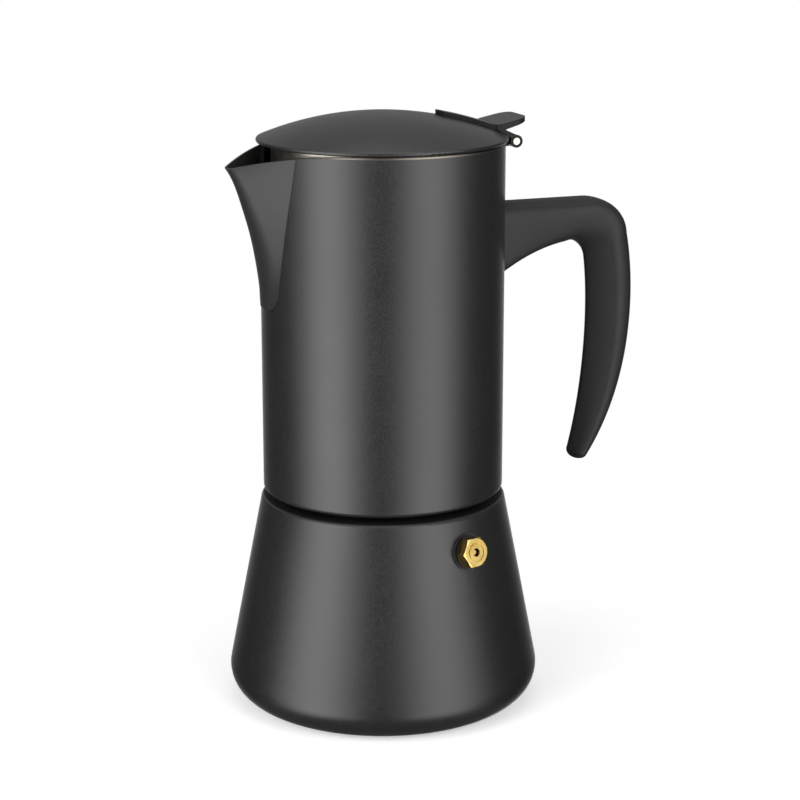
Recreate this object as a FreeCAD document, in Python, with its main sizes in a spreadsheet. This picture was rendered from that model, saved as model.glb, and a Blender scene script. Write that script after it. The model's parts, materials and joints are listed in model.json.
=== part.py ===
import FreeCAD, Part
import math
import os

import Sketcher
from FreeCAD import Placement, Rotation, Vector

# A moka pot that stands on z = 0 with its axis on Z, the handle towards +X and the spout towards -X.
# Driving dimensions, in millimetres and degrees.
DIMENSIONS = {
    # fits between pieces
    "weld_gap": 0.05,
    "seat_gap": 0.05,
    "running_gap": 0.05,
    "slip_gap": 0.3,
    # boiler
    "boiler_height": 72.5,
    "boiler_wall": 1.2,
    "base_radius": 53.4,
    "base_fillet": 11.1,
    "shoulder_stand": 0.6,
    "shoulder_round": 1.4,
    # threaded neck of the boiler and the ring that screws onto it
    "neck_inset": 7.0,
    "collar_wall": 3.5,
    "collar_rise": 10.5,
    "collar_step": 1.5,
    "collar_chamfer": 0.8,
    "thread_gap": 0.3,
    "ring_wall": 2.5,
    # safety valve, measured outwards along its own axis from the boiler's wall
    "valve_drop": 11.5,
    "valve_angle": -70.0,
    "boss_stand": 2.2,
    "boss_rise": 0.7,
    "boss_depth": 2.0,
    "valve_thread": 4.0,
    "washer_stand": 1.7,
    "washer_thickness": 0.8,
    "hex_stand": 0.7,
    "hex_height": 3.2,
    "hex_chamfer": 0.1,
    "valve_wall": 1.4,
    "outlet_step": 1.2,
    "outlet_depth": 2.5,
    "crimp_land": 0.3,
    "crimp_width": 0.35,
    "valve_tail": 9.0,
    "valve_seal": 1.5,
    "nut_stand": 1.5,
    "nut_height": 3.0,
    "seat_height": 1.0,
    "seat_step": 1.1,
    "poppet_gap": 0.4,
    "poppet_head": 1.0,
    "poppet_tip": 0.8,
    "poppet_stem": 0.75,
    "poppet_sink": 1.1,
    "spring_wire": 0.25,
    "spring_inset": 0.45,
    "spring_turns": 7,
    # funnel
    "sheet": 0.8,
    "basket_depth": 22.0,
    "basket_ledge": 1.2,
    "basket_lip": 0.6,
    "cone_drop": 11.0,
    "neck_length": 6.0,
    "stem_radius": 5.0,
    "stem_clear": 5.0,
    # seal and filter plate
    "seal_thickness": 3.5,
    "seal_width": 6.4,
    "seal_inset": 0.6,
    "filter_rise": 2.0,
    "hole_radius": 0.9,
    "hole_spacing": 5.0,
    "plate_margin": 5.0,
    # jug
    "jug_radius": 41.0,
    "jug_wall": 1.0,
    "jug_height": 118.3,
    "jug_round": 1.8,
    "seam_gap": 2.0,
    "floor_upturn": 4.0,
    "riser_hole": 7.0,
    "riser_foot": 11.0,
    "riser_base": 8.0,
    "riser_top": 5.5,
    "riser_height": 58.0,
    "riser_land": 9.0,
    "cap_wall": 0.9,
    "cap_skirt": 6.0,
    "cap_crown": 8.0,
    "window_width": 6.0,
    "window_height": 4.0,
    # spout, with the rim that dips towards it
    "dip_start": 18.0,
    "dip_radius": 103.0,
    "spout_wall": 1.0,
    "spout_depth": 53.3,
    "nose_tip": 3.0,
    "nose_low": 18.0,
    "nose_blend": 36.0,
    "spout_tuck": 13.0,
    "nose_stand": 0.85,
    "nose_curve": 128.0,
    "nose_start": 59.8,
    "lip_flare": 6.9,
    "seam_top_angle": 29.8,
    "seam_low_angle": 12.5,
    "seam_stand": 0.2,
    "seam_round": 6.5,
    "seam_lap": 0.6,
    # handle
    "handle_drop": 22.8,
    "handle_root": 26.5,
    "handle_arm": 13.9,
    "bend_drop": 15.7,
    "handle_stand": 43.15,
    "handle_depth": 14.3,
    "handle_width": 18.6,
    "handle_length": 91.8,
    "handle_inset": 11.6,
    "handle_shoulder": 2.2,
    "handle_taper": 0.6,
    "tail_depth": 5.2,
    "tail_width": 11.0,
    "edge_round": 4.4,
    "tail_round": 2.4,
    "tail_end": 2.1,
    "handle_gap": 0.1,
    # tongue and screw inside the handle's arm
    "tongue_inset": 7.6,
    "tongue_length": 20.0,
    "tongue_width": 7.0,
    "tongue_height": 7.0,
    "tongue_gap": 0.15,
    "screw_stand": 12.0,
    "screw_radius": 2.0,
    "screw_head": 3.2,
    "screw_head_height": 2.4,
    "screw_wall": 3.0,
    "screw_bite": 7.0,
    "recess_width": 1.0,
    "recess_depth": 1.4,
    # lid
    "lid_overhang": 1.0,
    "lid_gap": 0.4,
    "lid_bead": 0.75,
    "lid_rise": 8.9,
    "lid_wall": 0.8,
    "skirt_gap": 3.0,
    "skirt_depth": 7.0,
    # hinge
    "hinge_gap": 1.25,
    "hinge_drop": 0.7,
    "pin_radius": 1.45,
    "pin_end_round": 0.2,
    "knuckle_wall": 0.65,
    "knuckle_half": 4.4,
    "knuckle_gap": 0.2,
    "leaf_thickness": 1.2,
    "leaf_length": 14.0,
    # thumb lever
    "lever_width": 19.0,
    "lever_thickness": 1.5,
    "lever_setback": 3.1,
    "lever_length": 18.4,
    "lever_nose": 8.5,
    "tab_length": 9.9,
    "tab_lift": 2.9,
    "finger_thickness": 1.0,
    "lever_round": 4.5,
}

# Heights that pieces share, as expressions of the driving dimensions.
NECK_TOP = "(dims.boiler_height + dims.collar_rise)"
FLANGE_TOP = f"({NECK_TOP} + dims.seat_gap + dims.sheet)"
SEAL_BOTTOM = f"({FLANGE_TOP} + dims.seat_gap)"
SEAL_TOP = f"({SEAL_BOTTOM} + dims.seal_thickness)"
FLOOR_BOTTOM = f"({SEAL_TOP} + dims.seat_gap)"
FLOOR_TOP = f"({FLOOR_BOTTOM} + dims.jug_wall)"
JUG_BOTTOM = "(dims.boiler_height + dims.seam_gap)"
JUG_TOP = f"({JUG_BOTTOM} + dims.jug_height)"
BASKET_FLOOR = f"({NECK_TOP} - dims.basket_depth)"
RISER_TOP = f"({FLOOR_TOP} + dims.seat_gap + dims.riser_height)"
HINGE_HEIGHT = f"({JUG_TOP} - dims.hinge_drop)"

# Radii that pieces share.
SHOULDER = "(dims.jug_radius + dims.shoulder_stand)"
JUG_INSIDE = "(dims.jug_radius - dims.jug_wall)"
COLLAR = "(dims.jug_radius - dims.neck_inset)"
NECK_BORE = f"({COLLAR} - dims.collar_wall)"
SPIGOT = f"({COLLAR} - dims.collar_step)"
BASKET = f"({NECK_BORE} - dims.slip_gap)"
BASKET_INSIDE = f"({BASKET} - dims.sheet)"
RING_INSIDE = f"({COLLAR} + dims.thread_gap)"
RING_OUTSIDE = f"({RING_INSIDE} + dims.ring_wall)"
SEAL_OUTSIDE = f"({COLLAR} - dims.seal_inset)"
SEAL_INSIDE = f"({SEAL_OUTSIDE} - dims.seal_width)"
NOSE = "(dims.jug_radius + dims.nose_stand)"
LID = "(dims.jug_radius + dims.lid_overhang)"
SKIRT = f"({JUG_INSIDE} - dims.skirt_gap)"
KNUCKLE = "(dims.pin_radius + dims.running_gap + dims.knuckle_wall)"
HINGE_X = f"(dims.jug_radius + {KNUCKLE} + dims.hinge_gap)"

# The boiler's cone touches the foot's fillet: its lean from the vertical.
FOOT_CENTRE = "(dims.base_radius - dims.base_fillet)"
CONE_RISE = "(dims.boiler_height - dims.base_fillet)"
CONE_RUN = f"({SHOULDER} - {FOOT_CENTRE})"
CONE_LEAN = f"(atan2({CONE_RISE}; {CONE_RUN}) - acos(dims.base_fillet / hypot({CONE_RISE}; {CONE_RUN})))"

# The lid's dome is a sphere that runs into the bead round its edge.
BEAD_CENTRE = f"({LID} - dims.lid_bead)"
BEAD_HEIGHT = f"({JUG_TOP} + dims.lid_gap + dims.lid_bead)"
DOME_TOP = f"({BEAD_HEIGHT} + dims.lid_rise)"
DOME_CHORD = f"(pow({BEAD_CENTRE}; 2) + pow(dims.lid_rise; 2) - pow(dims.lid_bead; 2))"
DOME = f"({DOME_CHORD} / (2 * (dims.lid_rise - dims.lid_bead)))"
DOME_SLOPE = f"asin({BEAD_CENTRE} / ({DOME} - dims.lid_bead))"


doc = FreeCAD.newDocument("moka_pot")
sheet = doc.addObject("Spreadsheet::Sheet", "dims")
for row, (alias, size) in enumerate(DIMENSIONS.items(), start=1):
    sheet.set(f"A{row}", str(size))
    sheet.setAlias(f"A{row}", alias)
doc.recompute()


def value(expression):
    """The number that an expression of the sheet's cells comes to."""
    result = sheet.evalExpression(expression)
    return float(getattr(result, "Value", result))


def new_body(label):
    body = doc.addObject("PartDesign::Body", label)
    body.Label = label
    return body


def attach(item, role):
    """Lay a sketch or solid on one of the planes of the body that holds it."""
    body = item.getParentGeoFeatureGroup()
    plane = next(feature for feature in body.Origin.OriginFeatures if feature.Role == role)
    item.AttachmentSupport = [(plane, "")]
    item.MapMode = "FlatFace"


def new_sketch(body, name, role, height="0"):
    """A sketch on one of the body's own planes, moved along the plane's normal."""
    sketch = body.newObject("Sketcher::SketchObject", name)
    attach(sketch, role)
    sketch.setExpression("AttachmentOffset.Base.z", height)
    return sketch


def drive(sketch, kind, places, expression):
    """Add a constraint whose size follows an expression."""
    index = sketch.addConstraint(Sketcher.Constraint(kind, *places, value(expression)))
    sketch.setExpression(f"Constraints[{index}]", expression)


def arc_edge(start, end, radius, turn):
    """The short arc between two points, with turn 1 anticlockwise and -1 clockwise."""
    chord = end - start
    middle = (start + end) * 0.5
    left = Vector(-chord.y, chord.x, 0).normalize()
    centre = middle + left * (turn * math.sqrt(radius ** 2 - chord.Length ** 2 / 4))
    first, last = (start, end) if turn > 0 else (end, start)
    begin = math.atan2(first.y - centre.y, first.x - centre.x)
    finish = math.atan2(last.y - centre.y, last.x - centre.x)
    return Part.ArcOfCircle(Part.Circle(centre, Vector(0, 0, 1), radius), begin, finish)


def outline(sketch, corners):
    """A closed outline: a corner is (x, y), or (x, y, radius, turn) where an arc runs on to the next."""
    points = [Vector(value(corner[0]), value(corner[1]), 0) for corner in corners]
    edges = []
    for index, corner in enumerate(corners):
        start = points[index]
        end = points[(index + 1) % len(points)]
        if len(corner) == 2:
            edges.append((sketch.addGeometry(Part.LineSegment(start, end), False), 1, 2))
            continue
        radius, turn = corner[2:]
        curve = sketch.addGeometry(arc_edge(start, end, value(radius), turn), False)
        edges.append((curve, 1, 2) if turn > 0 else (curve, 2, 1))
    for index, corner in enumerate(corners):
        edge, first, last = edges[index]
        following, its_first, _ = edges[(index + 1) % len(edges)]
        sketch.addConstraint(Sketcher.Constraint("Coincident", edge, last, following, its_first))
        drive(sketch, "DistanceX", (-1, 1, edge, first), corner[0])
        drive(sketch, "DistanceY", (-1, 1, edge, first), corner[1])
        if len(corner) > 2:
            drive(sketch, "Radius", (edge,), corner[2])


def circle(sketch, x, y, radius):
    centre = Vector(value(x), value(y), 0)
    ring = sketch.addGeometry(Part.Circle(centre, Vector(0, 0, 1), value(radius)), False)
    drive(sketch, "DistanceX", (-1, 1, ring, 3), x)
    drive(sketch, "DistanceY", (-1, 1, ring, 3), y)
    drive(sketch, "Radius", (ring,), radius)


def rectangle(sketch, left, bottom, right, top):
    outline(sketch, [(left, bottom), (right, bottom), (right, top), (left, top)])


def hexagon(sketch, flats):
    """A hexagon with level flats, by the distance across them."""
    corner = f"({flats} / sqrt(3))"
    half = f"({flats} / 2)"
    outline(sketch, [(corner, "0"), (f"{corner} / 2", half), (f"-{corner} / 2", half),
                     (f"-{corner}", "0"), (f"-{corner} / 2", f"-{half}"), (f"{corner} / 2", f"-{half}")])


def turn_feature(body, kind, name, corners):
    """Revolve a half section about Z: its corners are (radius, height)."""
    sketch = new_sketch(body, f"{name}_section", "XZ_Plane")
    outline(sketch, corners)
    feature = body.newObject(f"PartDesign::{kind}", name)
    feature.Profile = sketch
    feature.ReferenceAxis = (sketch, ["V_Axis"])
    feature.Angle = 360
    doc.recompute()
    return feature


def revolve(body, name, corners):
    return turn_feature(body, "Revolution", name, corners)


def groove(body, name, corners):
    before = body.Shape.Volume
    feature = turn_feature(body, "Groove", name, corners)
    check_cut(body, before, name)
    return feature


def check_cut(body, before, name):
    if body.Shape.Volume > before - 1e-3:
        raise RuntimeError(f"{body.Label}: {name} cuts nothing")


def extrude(body, kind, name, sketch, length=None, both_ways=False, backwards=False):
    """Pad or pocket a sketch: with no length it goes through everything."""
    feature = body.newObject(f"PartDesign::{kind}", name)
    feature.Profile = sketch
    feature.SideType = "Symmetric" if both_ways else "One side"
    feature.Reversed = backwards
    if length is None:
        feature.Type = "ThroughAll"
    else:
        feature.setExpression("Length", length)
    doc.recompute()
    return feature


def pad(body, name, sketch, length, both_ways=False, backwards=False):
    return extrude(body, "Pad", name, sketch, length, both_ways, backwards)


def pocket(body, name, sketch, length=None, both_ways=False, backwards=False):
    before = body.Shape.Volume
    feature = extrude(body, "Pocket", name, sketch, length, both_ways, backwards)
    check_cut(body, before, name)
    return feature


def loft(body, name, sections):
    feature = body.newObject("PartDesign::AdditiveLoft", name)
    feature.Profile = sections[0]
    feature.Sections = sections[1:]
    doc.recompute()
    return feature


def fillet_rim(body, name, radius, height, size):
    """Round the circular edge of a given radius that lies at a given height."""
    base = body.Tip
    picked = []
    for number, edge in enumerate(base.Shape.Edges, start=1):
        same_ring = hasattr(edge.Curve, "Radius") and abs(edge.Curve.Radius - value(radius)) < 1e-4
        if same_ring and abs(edge.CenterOfMass.z - value(height)) < 1e-4:
            picked.append(f"Edge{number}")
    feature = body.newObject("PartDesign::Fillet", name)
    feature.Base = (base, picked)
    feature.setExpression("Radius", size)
    doc.recompute()


def hole_rings(body, edge):
    """Drill a plate out to its edge: one hole on the axis and rings of six holes more each."""
    rings = int(value(f"({edge} - dims.plate_margin) / dims.hole_spacing"))
    centre = new_sketch(body, "centre_hole", "XY_Plane")
    circle(centre, "0", "0", "dims.hole_radius")
    pocket(body, "centre_drilling", centre, both_ways=True)
    for ring in range(1, rings + 1):
        sketch = new_sketch(body, f"ring_{ring}_hole", "XY_Plane")
        circle(sketch, f"{ring} * dims.hole_spacing", "0", "dims.hole_radius")
        first = pocket(body, f"ring_{ring}_drilling", sketch, both_ways=True)
        pattern = body.newObject("PartDesign::PolarPattern", f"ring_{ring}_pattern")
        pattern.Originals = [first]
        pattern.Axis = (sketch, ["N_Axis"])
        pattern.Angle = 360
        pattern.Occurrences = 6 * ring
        body.Tip = pattern
        doc.recompute()


def valve_placement():
    """Where the valve's axis leaves the wall: z outwards, y up the cone."""
    lean = math.radians(value(CONE_LEAN))
    angle = math.radians(value("dims.valve_angle"))
    wall = value(f"{SHOULDER} + dims.valve_drop * tan({CONE_LEAN})")
    outward = Vector(math.cos(angle) * math.cos(lean), math.sin(angle) * math.cos(lean), math.sin(lean))
    level = Vector(-math.sin(angle), math.cos(angle), 0)
    height = value("dims.boiler_height - dims.valve_drop")
    place = Vector(wall * math.cos(angle), wall * math.sin(angle), height)
    return Placement(place, Rotation(level, outward.cross(level), outward, "ZXY"))


# The boiler and its neck.

def boiler_shell():
    body = new_body("boiler_shell")
    inner_fillet = "(dims.base_fillet - dims.boiler_wall)"
    under_shoulder = "(dims.boiler_height - dims.boiler_wall)"
    inner_top = f"{SHOULDER} + dims.boiler_wall * (tan({CONE_LEAN}) - 1 / cos({CONE_LEAN}))"
    mouth = f"({SPIGOT} + dims.weld_gap)"
    revolve(body, "cup", [
        ("0", "0"),
        (FOOT_CENTRE, "0", "dims.base_fillet", 1),
        (f"{FOOT_CENTRE} + dims.base_fillet * cos({CONE_LEAN})",
         f"dims.base_fillet * (1 + sin({CONE_LEAN}))"),
        (SHOULDER, "dims.boiler_height"),
        (mouth, "dims.boiler_height"),
        (mouth, under_shoulder),
        (inner_top, under_shoulder),
        (f"{FOOT_CENTRE} + {inner_fillet} * cos({CONE_LEAN})",
         f"dims.base_fillet + {inner_fillet} * sin({CONE_LEAN})", inner_fillet, -1),
        (FOOT_CENTRE, "dims.boiler_wall"),
        ("0", "dims.boiler_wall"),
    ])
    fillet_rim(body, "shoulder", SHOULDER, "dims.boiler_height", "dims.shoulder_round")
    boss = body.newObject("PartDesign::AdditiveCylinder", "valve_boss")
    add_on_valve_axis(boss, BOSS, "dims.boss_depth", "dims.boss_depth + dims.boss_rise")
    hole = body.newObject("PartDesign::SubtractiveCylinder", "valve_hole")
    add_on_valve_axis(hole, "dims.valve_thread + dims.weld_gap", "dims.base_fillet", "2 * dims.base_fillet")
    return body


def add_on_valve_axis(feature, radius, depth, length):
    """Set a cylinder on the valve's axis, from a depth inside the wall."""
    attach(feature, "XY_Plane")
    feature.setExpression("Radius", radius)
    feature.setExpression("Height", length)
    feature.AttachmentOffset = valve_placement().multiply(Placement(Vector(0, 0, -value(depth)), Rotation()))
    doc.recompute()


def boiler_collar():
    body = new_body("boiler_collar")
    under_shoulder = "dims.boiler_height - dims.boiler_wall"
    revolve(body, "neck", [
        (NECK_BORE, under_shoulder),
        (SPIGOT, under_shoulder),
        (SPIGOT, "dims.boiler_height"),
        (COLLAR, "dims.boiler_height"),
        (COLLAR, f"{NECK_TOP} - dims.collar_chamfer"),
        (f"{COLLAR} - dims.collar_chamfer", NECK_TOP),
        (NECK_BORE, NECK_TOP),
    ])
    return body


# The safety valve, each piece modelled on its own axis and then set on the boiler's wall.

BOSS = "(dims.valve_thread + dims.boss_stand)"
HEX_FLATS = "(2 * (dims.valve_thread + dims.hex_stand))"
HEX_CORNER = f"({HEX_FLATS} / sqrt(3))"
HEX_FACE = f"({HEX_FLATS} / 2 - dims.hex_chamfer)"
NUT_FLATS = "(2 * (dims.valve_thread + dims.nut_stand))"
VALVE_BORE = "(dims.valve_thread - dims.valve_wall)"
CRIMP = f"({VALVE_BORE} + dims.crimp_land)"
SEAT_HOLE = f"({VALVE_BORE} - dims.seat_step)"
POPPET = f"({VALVE_BORE} - dims.poppet_gap)"
WASHER_TOP = "(dims.boss_rise + dims.washer_thickness)"
HEX_TOP = f"({WASHER_TOP} + dims.hex_height)"
BORE_END = f"({HEX_TOP} - dims.outlet_depth)"
SEAT_TOP = "(dims.seat_height - dims.valve_tail)"
SEAL_BACK = "(-dims.boss_depth - dims.valve_seal)"
NUT_BACK = f"({SEAL_BACK} - dims.nut_height)"
HEAD_FRONT = f"({SEAT_TOP} + dims.seat_gap + {POPPET} - {SEAT_HOLE})"
HEAD_BACK = f"({HEAD_FRONT} + dims.poppet_head)"


def valve_body():
    body = new_body("valve_body")
    revolve(body, "shank", [
        (VALVE_BORE, "-dims.valve_tail"),
        ("dims.valve_thread", "-dims.valve_tail"),
        ("dims.valve_thread", BORE_END),
        (VALVE_BORE, BORE_END),
    ])
    head = new_sketch(body, "hex", "XY_Plane", WASHER_TOP)
    hexagon(head, HEX_FLATS)
    circle(head, "0", "0", VALVE_BORE)
    pad(body, "head", head, "dims.hex_height")
    cap = new_sketch(body, "outlet", "XY_Plane", HEX_TOP)
    circle(cap, "0", "0", VALVE_BORE)
    circle(cap, "0", "0", f"{VALVE_BORE} - dims.outlet_step")
    pad(body, "crown", cap, "dims.outlet_depth", backwards=True)
    groove(body, "corner_chamfer", [
        (HEX_FACE, HEX_TOP),
        (HEX_CORNER, f"{HEX_TOP} - ({HEX_CORNER} - {HEX_FACE}) * tan(30)"),
        (HEX_CORNER, HEX_TOP),
    ])
    groove(body, "crimp", [
        (CRIMP, f"{HEX_TOP} - dims.crimp_width"),
        (f"{CRIMP} + dims.crimp_width", f"{HEX_TOP} - dims.crimp_width"),
        (f"{CRIMP} + dims.crimp_width", HEX_TOP),
        (CRIMP, HEX_TOP),
    ])
    return body


def flat_ring(label, inside, outside, bottom, top):
    body = new_body(label)
    revolve(body, "ring", [(inside, bottom), (outside, bottom), (outside, top), (inside, top)])
    return body


def valve_washer():
    inside = "dims.valve_thread + dims.weld_gap"
    outside = "dims.valve_thread + dims.washer_stand"
    return flat_ring("valve_washer", inside, outside, "dims.boss_rise", WASHER_TOP)


def valve_gasket():
    inside = "dims.valve_thread + dims.weld_gap"
    return flat_ring("valve_gasket", inside, BOSS, SEAL_BACK, "-dims.boss_depth")


def valve_nut():
    body = new_body("valve_nut")
    sketch = new_sketch(body, "hex", "XY_Plane", NUT_BACK)
    hexagon(sketch, NUT_FLATS)
    circle(sketch, "0", "0", "dims.valve_thread + dims.weld_gap")
    pad(body, "nut", sketch, "dims.nut_height")
    return body


def valve_seat():
    outside = f"{VALVE_BORE} - dims.weld_gap"
    return flat_ring("valve_seat", SEAT_HOLE, outside, "-dims.valve_tail", SEAT_TOP)


def valve_poppet():
    body = new_body("valve_poppet")
    revolve(body, "poppet", [
        ("0", f"{HEAD_FRONT} - {POPPET} + dims.poppet_tip"),
        ("dims.poppet_tip", f"{HEAD_FRONT} - {POPPET} + dims.poppet_tip"),
        (POPPET, HEAD_FRONT),
        (POPPET, HEAD_BACK),
        ("dims.poppet_stem", HEAD_BACK),
        ("dims.poppet_stem", f"{HEX_TOP} - dims.poppet_sink"),
        ("0", f"{HEX_TOP} - dims.poppet_sink"),
    ])
    return body


def valve_spring():
    """A coil of round wire, with each quarter turn an arc."""
    radius = value(f"{POPPET} - dims.spring_inset")
    wire = value("dims.spring_wire")
    bottom = value(f"{HEAD_BACK} + dims.seat_gap + dims.spring_wire")
    top = value(f"{BORE_END} - dims.seat_gap - dims.spring_wire")
    quarters = int(4 * value("dims.spring_turns"))

    def coil_point(quarter):
        angle = quarter * math.pi / 2
        rise = bottom + (top - bottom) * quarter / quarters
        return Vector(radius * math.cos(angle), radius * math.sin(angle), rise)

    arcs = []
    for quarter in range(quarters):
        arc = Part.Arc(coil_point(quarter), coil_point(quarter + 0.5), coil_point(quarter + 1))
        arcs.append(arc.toShape())
    path = Part.Wire(arcs)
    heading = arcs[0].tangentAt(arcs[0].FirstParameter)
    section = Part.Wire([Part.makeCircle(wire, coil_point(0), heading)])
    spring = doc.addObject("Part::Feature", "valve_spring")
    spring.Label = "valve_spring"
    spring.Shape = path.makePipeShell([section], True, False)
    return spring


# The funnel, the seal and the filter plate.

def funnel_basket():
    body = new_body("funnel_basket")
    flange_bottom = f"{NECK_TOP} + dims.seat_gap"
    neck_outside = "(dims.stem_radius + dims.weld_gap + dims.sheet)"
    cone_end = f"{BASKET_FLOOR} - dims.cone_drop"
    revolve(body, "cup", [
        (f"{COLLAR} - dims.basket_lip", flange_bottom),
        (f"{COLLAR} - dims.basket_lip", FLANGE_TOP),
        (BASKET_INSIDE, FLANGE_TOP),
        (BASKET_INSIDE, BASKET_FLOOR),
        (f"{BASKET_INSIDE} - dims.basket_ledge", BASKET_FLOOR),
        ("dims.stem_radius + dims.weld_gap", cone_end),
        ("dims.stem_radius + dims.weld_gap", f"{cone_end} - dims.neck_length"),
        (neck_outside, f"{cone_end} - dims.neck_length"),
        (neck_outside, f"{cone_end} - dims.sheet"),
        (BASKET, f"{BASKET_FLOOR} - dims.sheet"),
        (BASKET, flange_bottom),
    ])
    return body


def funnel_stem():
    top = f"{BASKET_FLOOR} - dims.cone_drop - dims.seat_gap"
    bottom = "dims.boiler_wall + dims.stem_clear"
    return flat_ring("funnel_stem", "dims.stem_radius - dims.sheet", "dims.stem_radius", bottom, top)


def funnel_sieve():
    body = new_body("funnel_sieve")
    bottom = f"{BASKET_FLOOR} + dims.seat_gap"
    edge = f"({BASKET_INSIDE} - dims.weld_gap)"
    top = f"{bottom} + dims.sheet"
    revolve(body, "plate", [("0", bottom), (edge, bottom), (edge, top), ("0", top)])
    hole_rings(body, edge)
    return body


def seal_gasket():
    return flat_ring("seal_gasket", SEAL_INSIDE, SEAL_OUTSIDE, SEAL_BOTTOM, SEAL_TOP)


def filter_plate():
    body = new_body("filter_plate")
    edge = f"({SEAL_INSIDE} - dims.weld_gap)"
    bottom = f"({SEAL_TOP} - dims.filter_rise)"
    revolve(body, "dish", [
        ("0", bottom),
        (edge, bottom),
        (edge, SEAL_TOP),
        (f"{edge} - dims.sheet", SEAL_TOP),
        (f"{edge} - dims.sheet", f"{bottom} + dims.sheet"),
        ("0", f"{bottom} + dims.sheet"),
    ])
    hole_rings(body, edge)
    return body


# The jug.

SPOUT_BACK = "(dims.jug_radius - dims.spout_tuck)"
# Depths of the spout's sections below the rim, as shares of its whole depth.
SPOUT_LEVELS = (1.06, 0.88, 0.7, 0.52, 0.34, 0.17, 0.0)


def dip_sketch(body):
    """The part of the side view above the rim, which dips towards the spout."""
    sketch = new_sketch(body, "rim_dip", "XZ_Plane")
    far = f"({NOSE} + dims.nose_start)"
    above = f"{JUG_TOP} + dims.lip_flare"
    drop = f"dims.dip_radius - sqrt(pow(dims.dip_radius; 2) - pow({far} - dims.dip_start; 2))"
    outline(sketch, [
        ("-dims.dip_start", JUG_TOP, "dims.dip_radius", 1),
        (f"-{far}", f"{JUG_TOP} - ({drop})"),
        (f"-{far}", above),
        ("-dims.dip_start", above),
    ])
    return sketch


def seam_angle(depth):
    """How far round from the nose the seam lies at a depth below the rim."""
    return f"(dims.seam_top_angle + {depth} / dims.spout_depth * (dims.seam_low_angle - dims.seam_top_angle))"


def seam_outline(sketch, inset):
    """The U that the spout's sheet covers on the jug, seen along X and drawn in by an inset."""
    top = f"({JUG_TOP} + dims.lip_flare)"
    bottom = f"({JUG_TOP} - dims.spout_depth + {inset})"
    corner = f"(dims.seam_round - {inset})"
    wide = f"(dims.jug_radius * sin({seam_angle('-dims.lip_flare')}) - {inset})"
    narrow = f"(dims.jug_radius * sin({seam_angle('(dims.spout_depth - dims.seam_round)')}) - {inset})"
    foot = f"({narrow} - {corner})"
    outline(sketch, [
        (wide, top),
        (f"-{wide}", top),
        (f"-{narrow}", f"{bottom} + {corner}", corner, 1),
        (f"-{foot}", bottom),
        (foot, bottom, corner, 1),
        (narrow, f"{bottom} + {corner}"),
    ])


def jug_shell():
    body = new_body("jug_shell")
    bend = "dims.jug_radius - dims.jug_round"
    lip = f"{RING_OUTSIDE} + dims.weld_gap"
    revolve(body, "cylinder", [
        (lip, JUG_BOTTOM),
        (bend, JUG_BOTTOM, "dims.jug_round", 1),
        ("dims.jug_radius", f"{JUG_BOTTOM} + dims.jug_round"),
        ("dims.jug_radius", JUG_TOP),
        (JUG_INSIDE, JUG_TOP),
        (JUG_INSIDE, f"{JUG_BOTTOM} + dims.jug_round", "dims.jug_round - dims.jug_wall", -1),
        (bend, f"{JUG_BOTTOM} + dims.jug_wall"),
        (lip, f"{JUG_BOTTOM} + dims.jug_wall"),
    ])
    pocket(body, "rim_dip_cut", dip_sketch(body), both_ways=True)
    opening = new_sketch(body, "spout_opening", "YZ_Plane")
    seam_outline(opening, "dims.seam_lap")
    pocket(body, "spout_opening_cut", opening)
    return body


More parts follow.
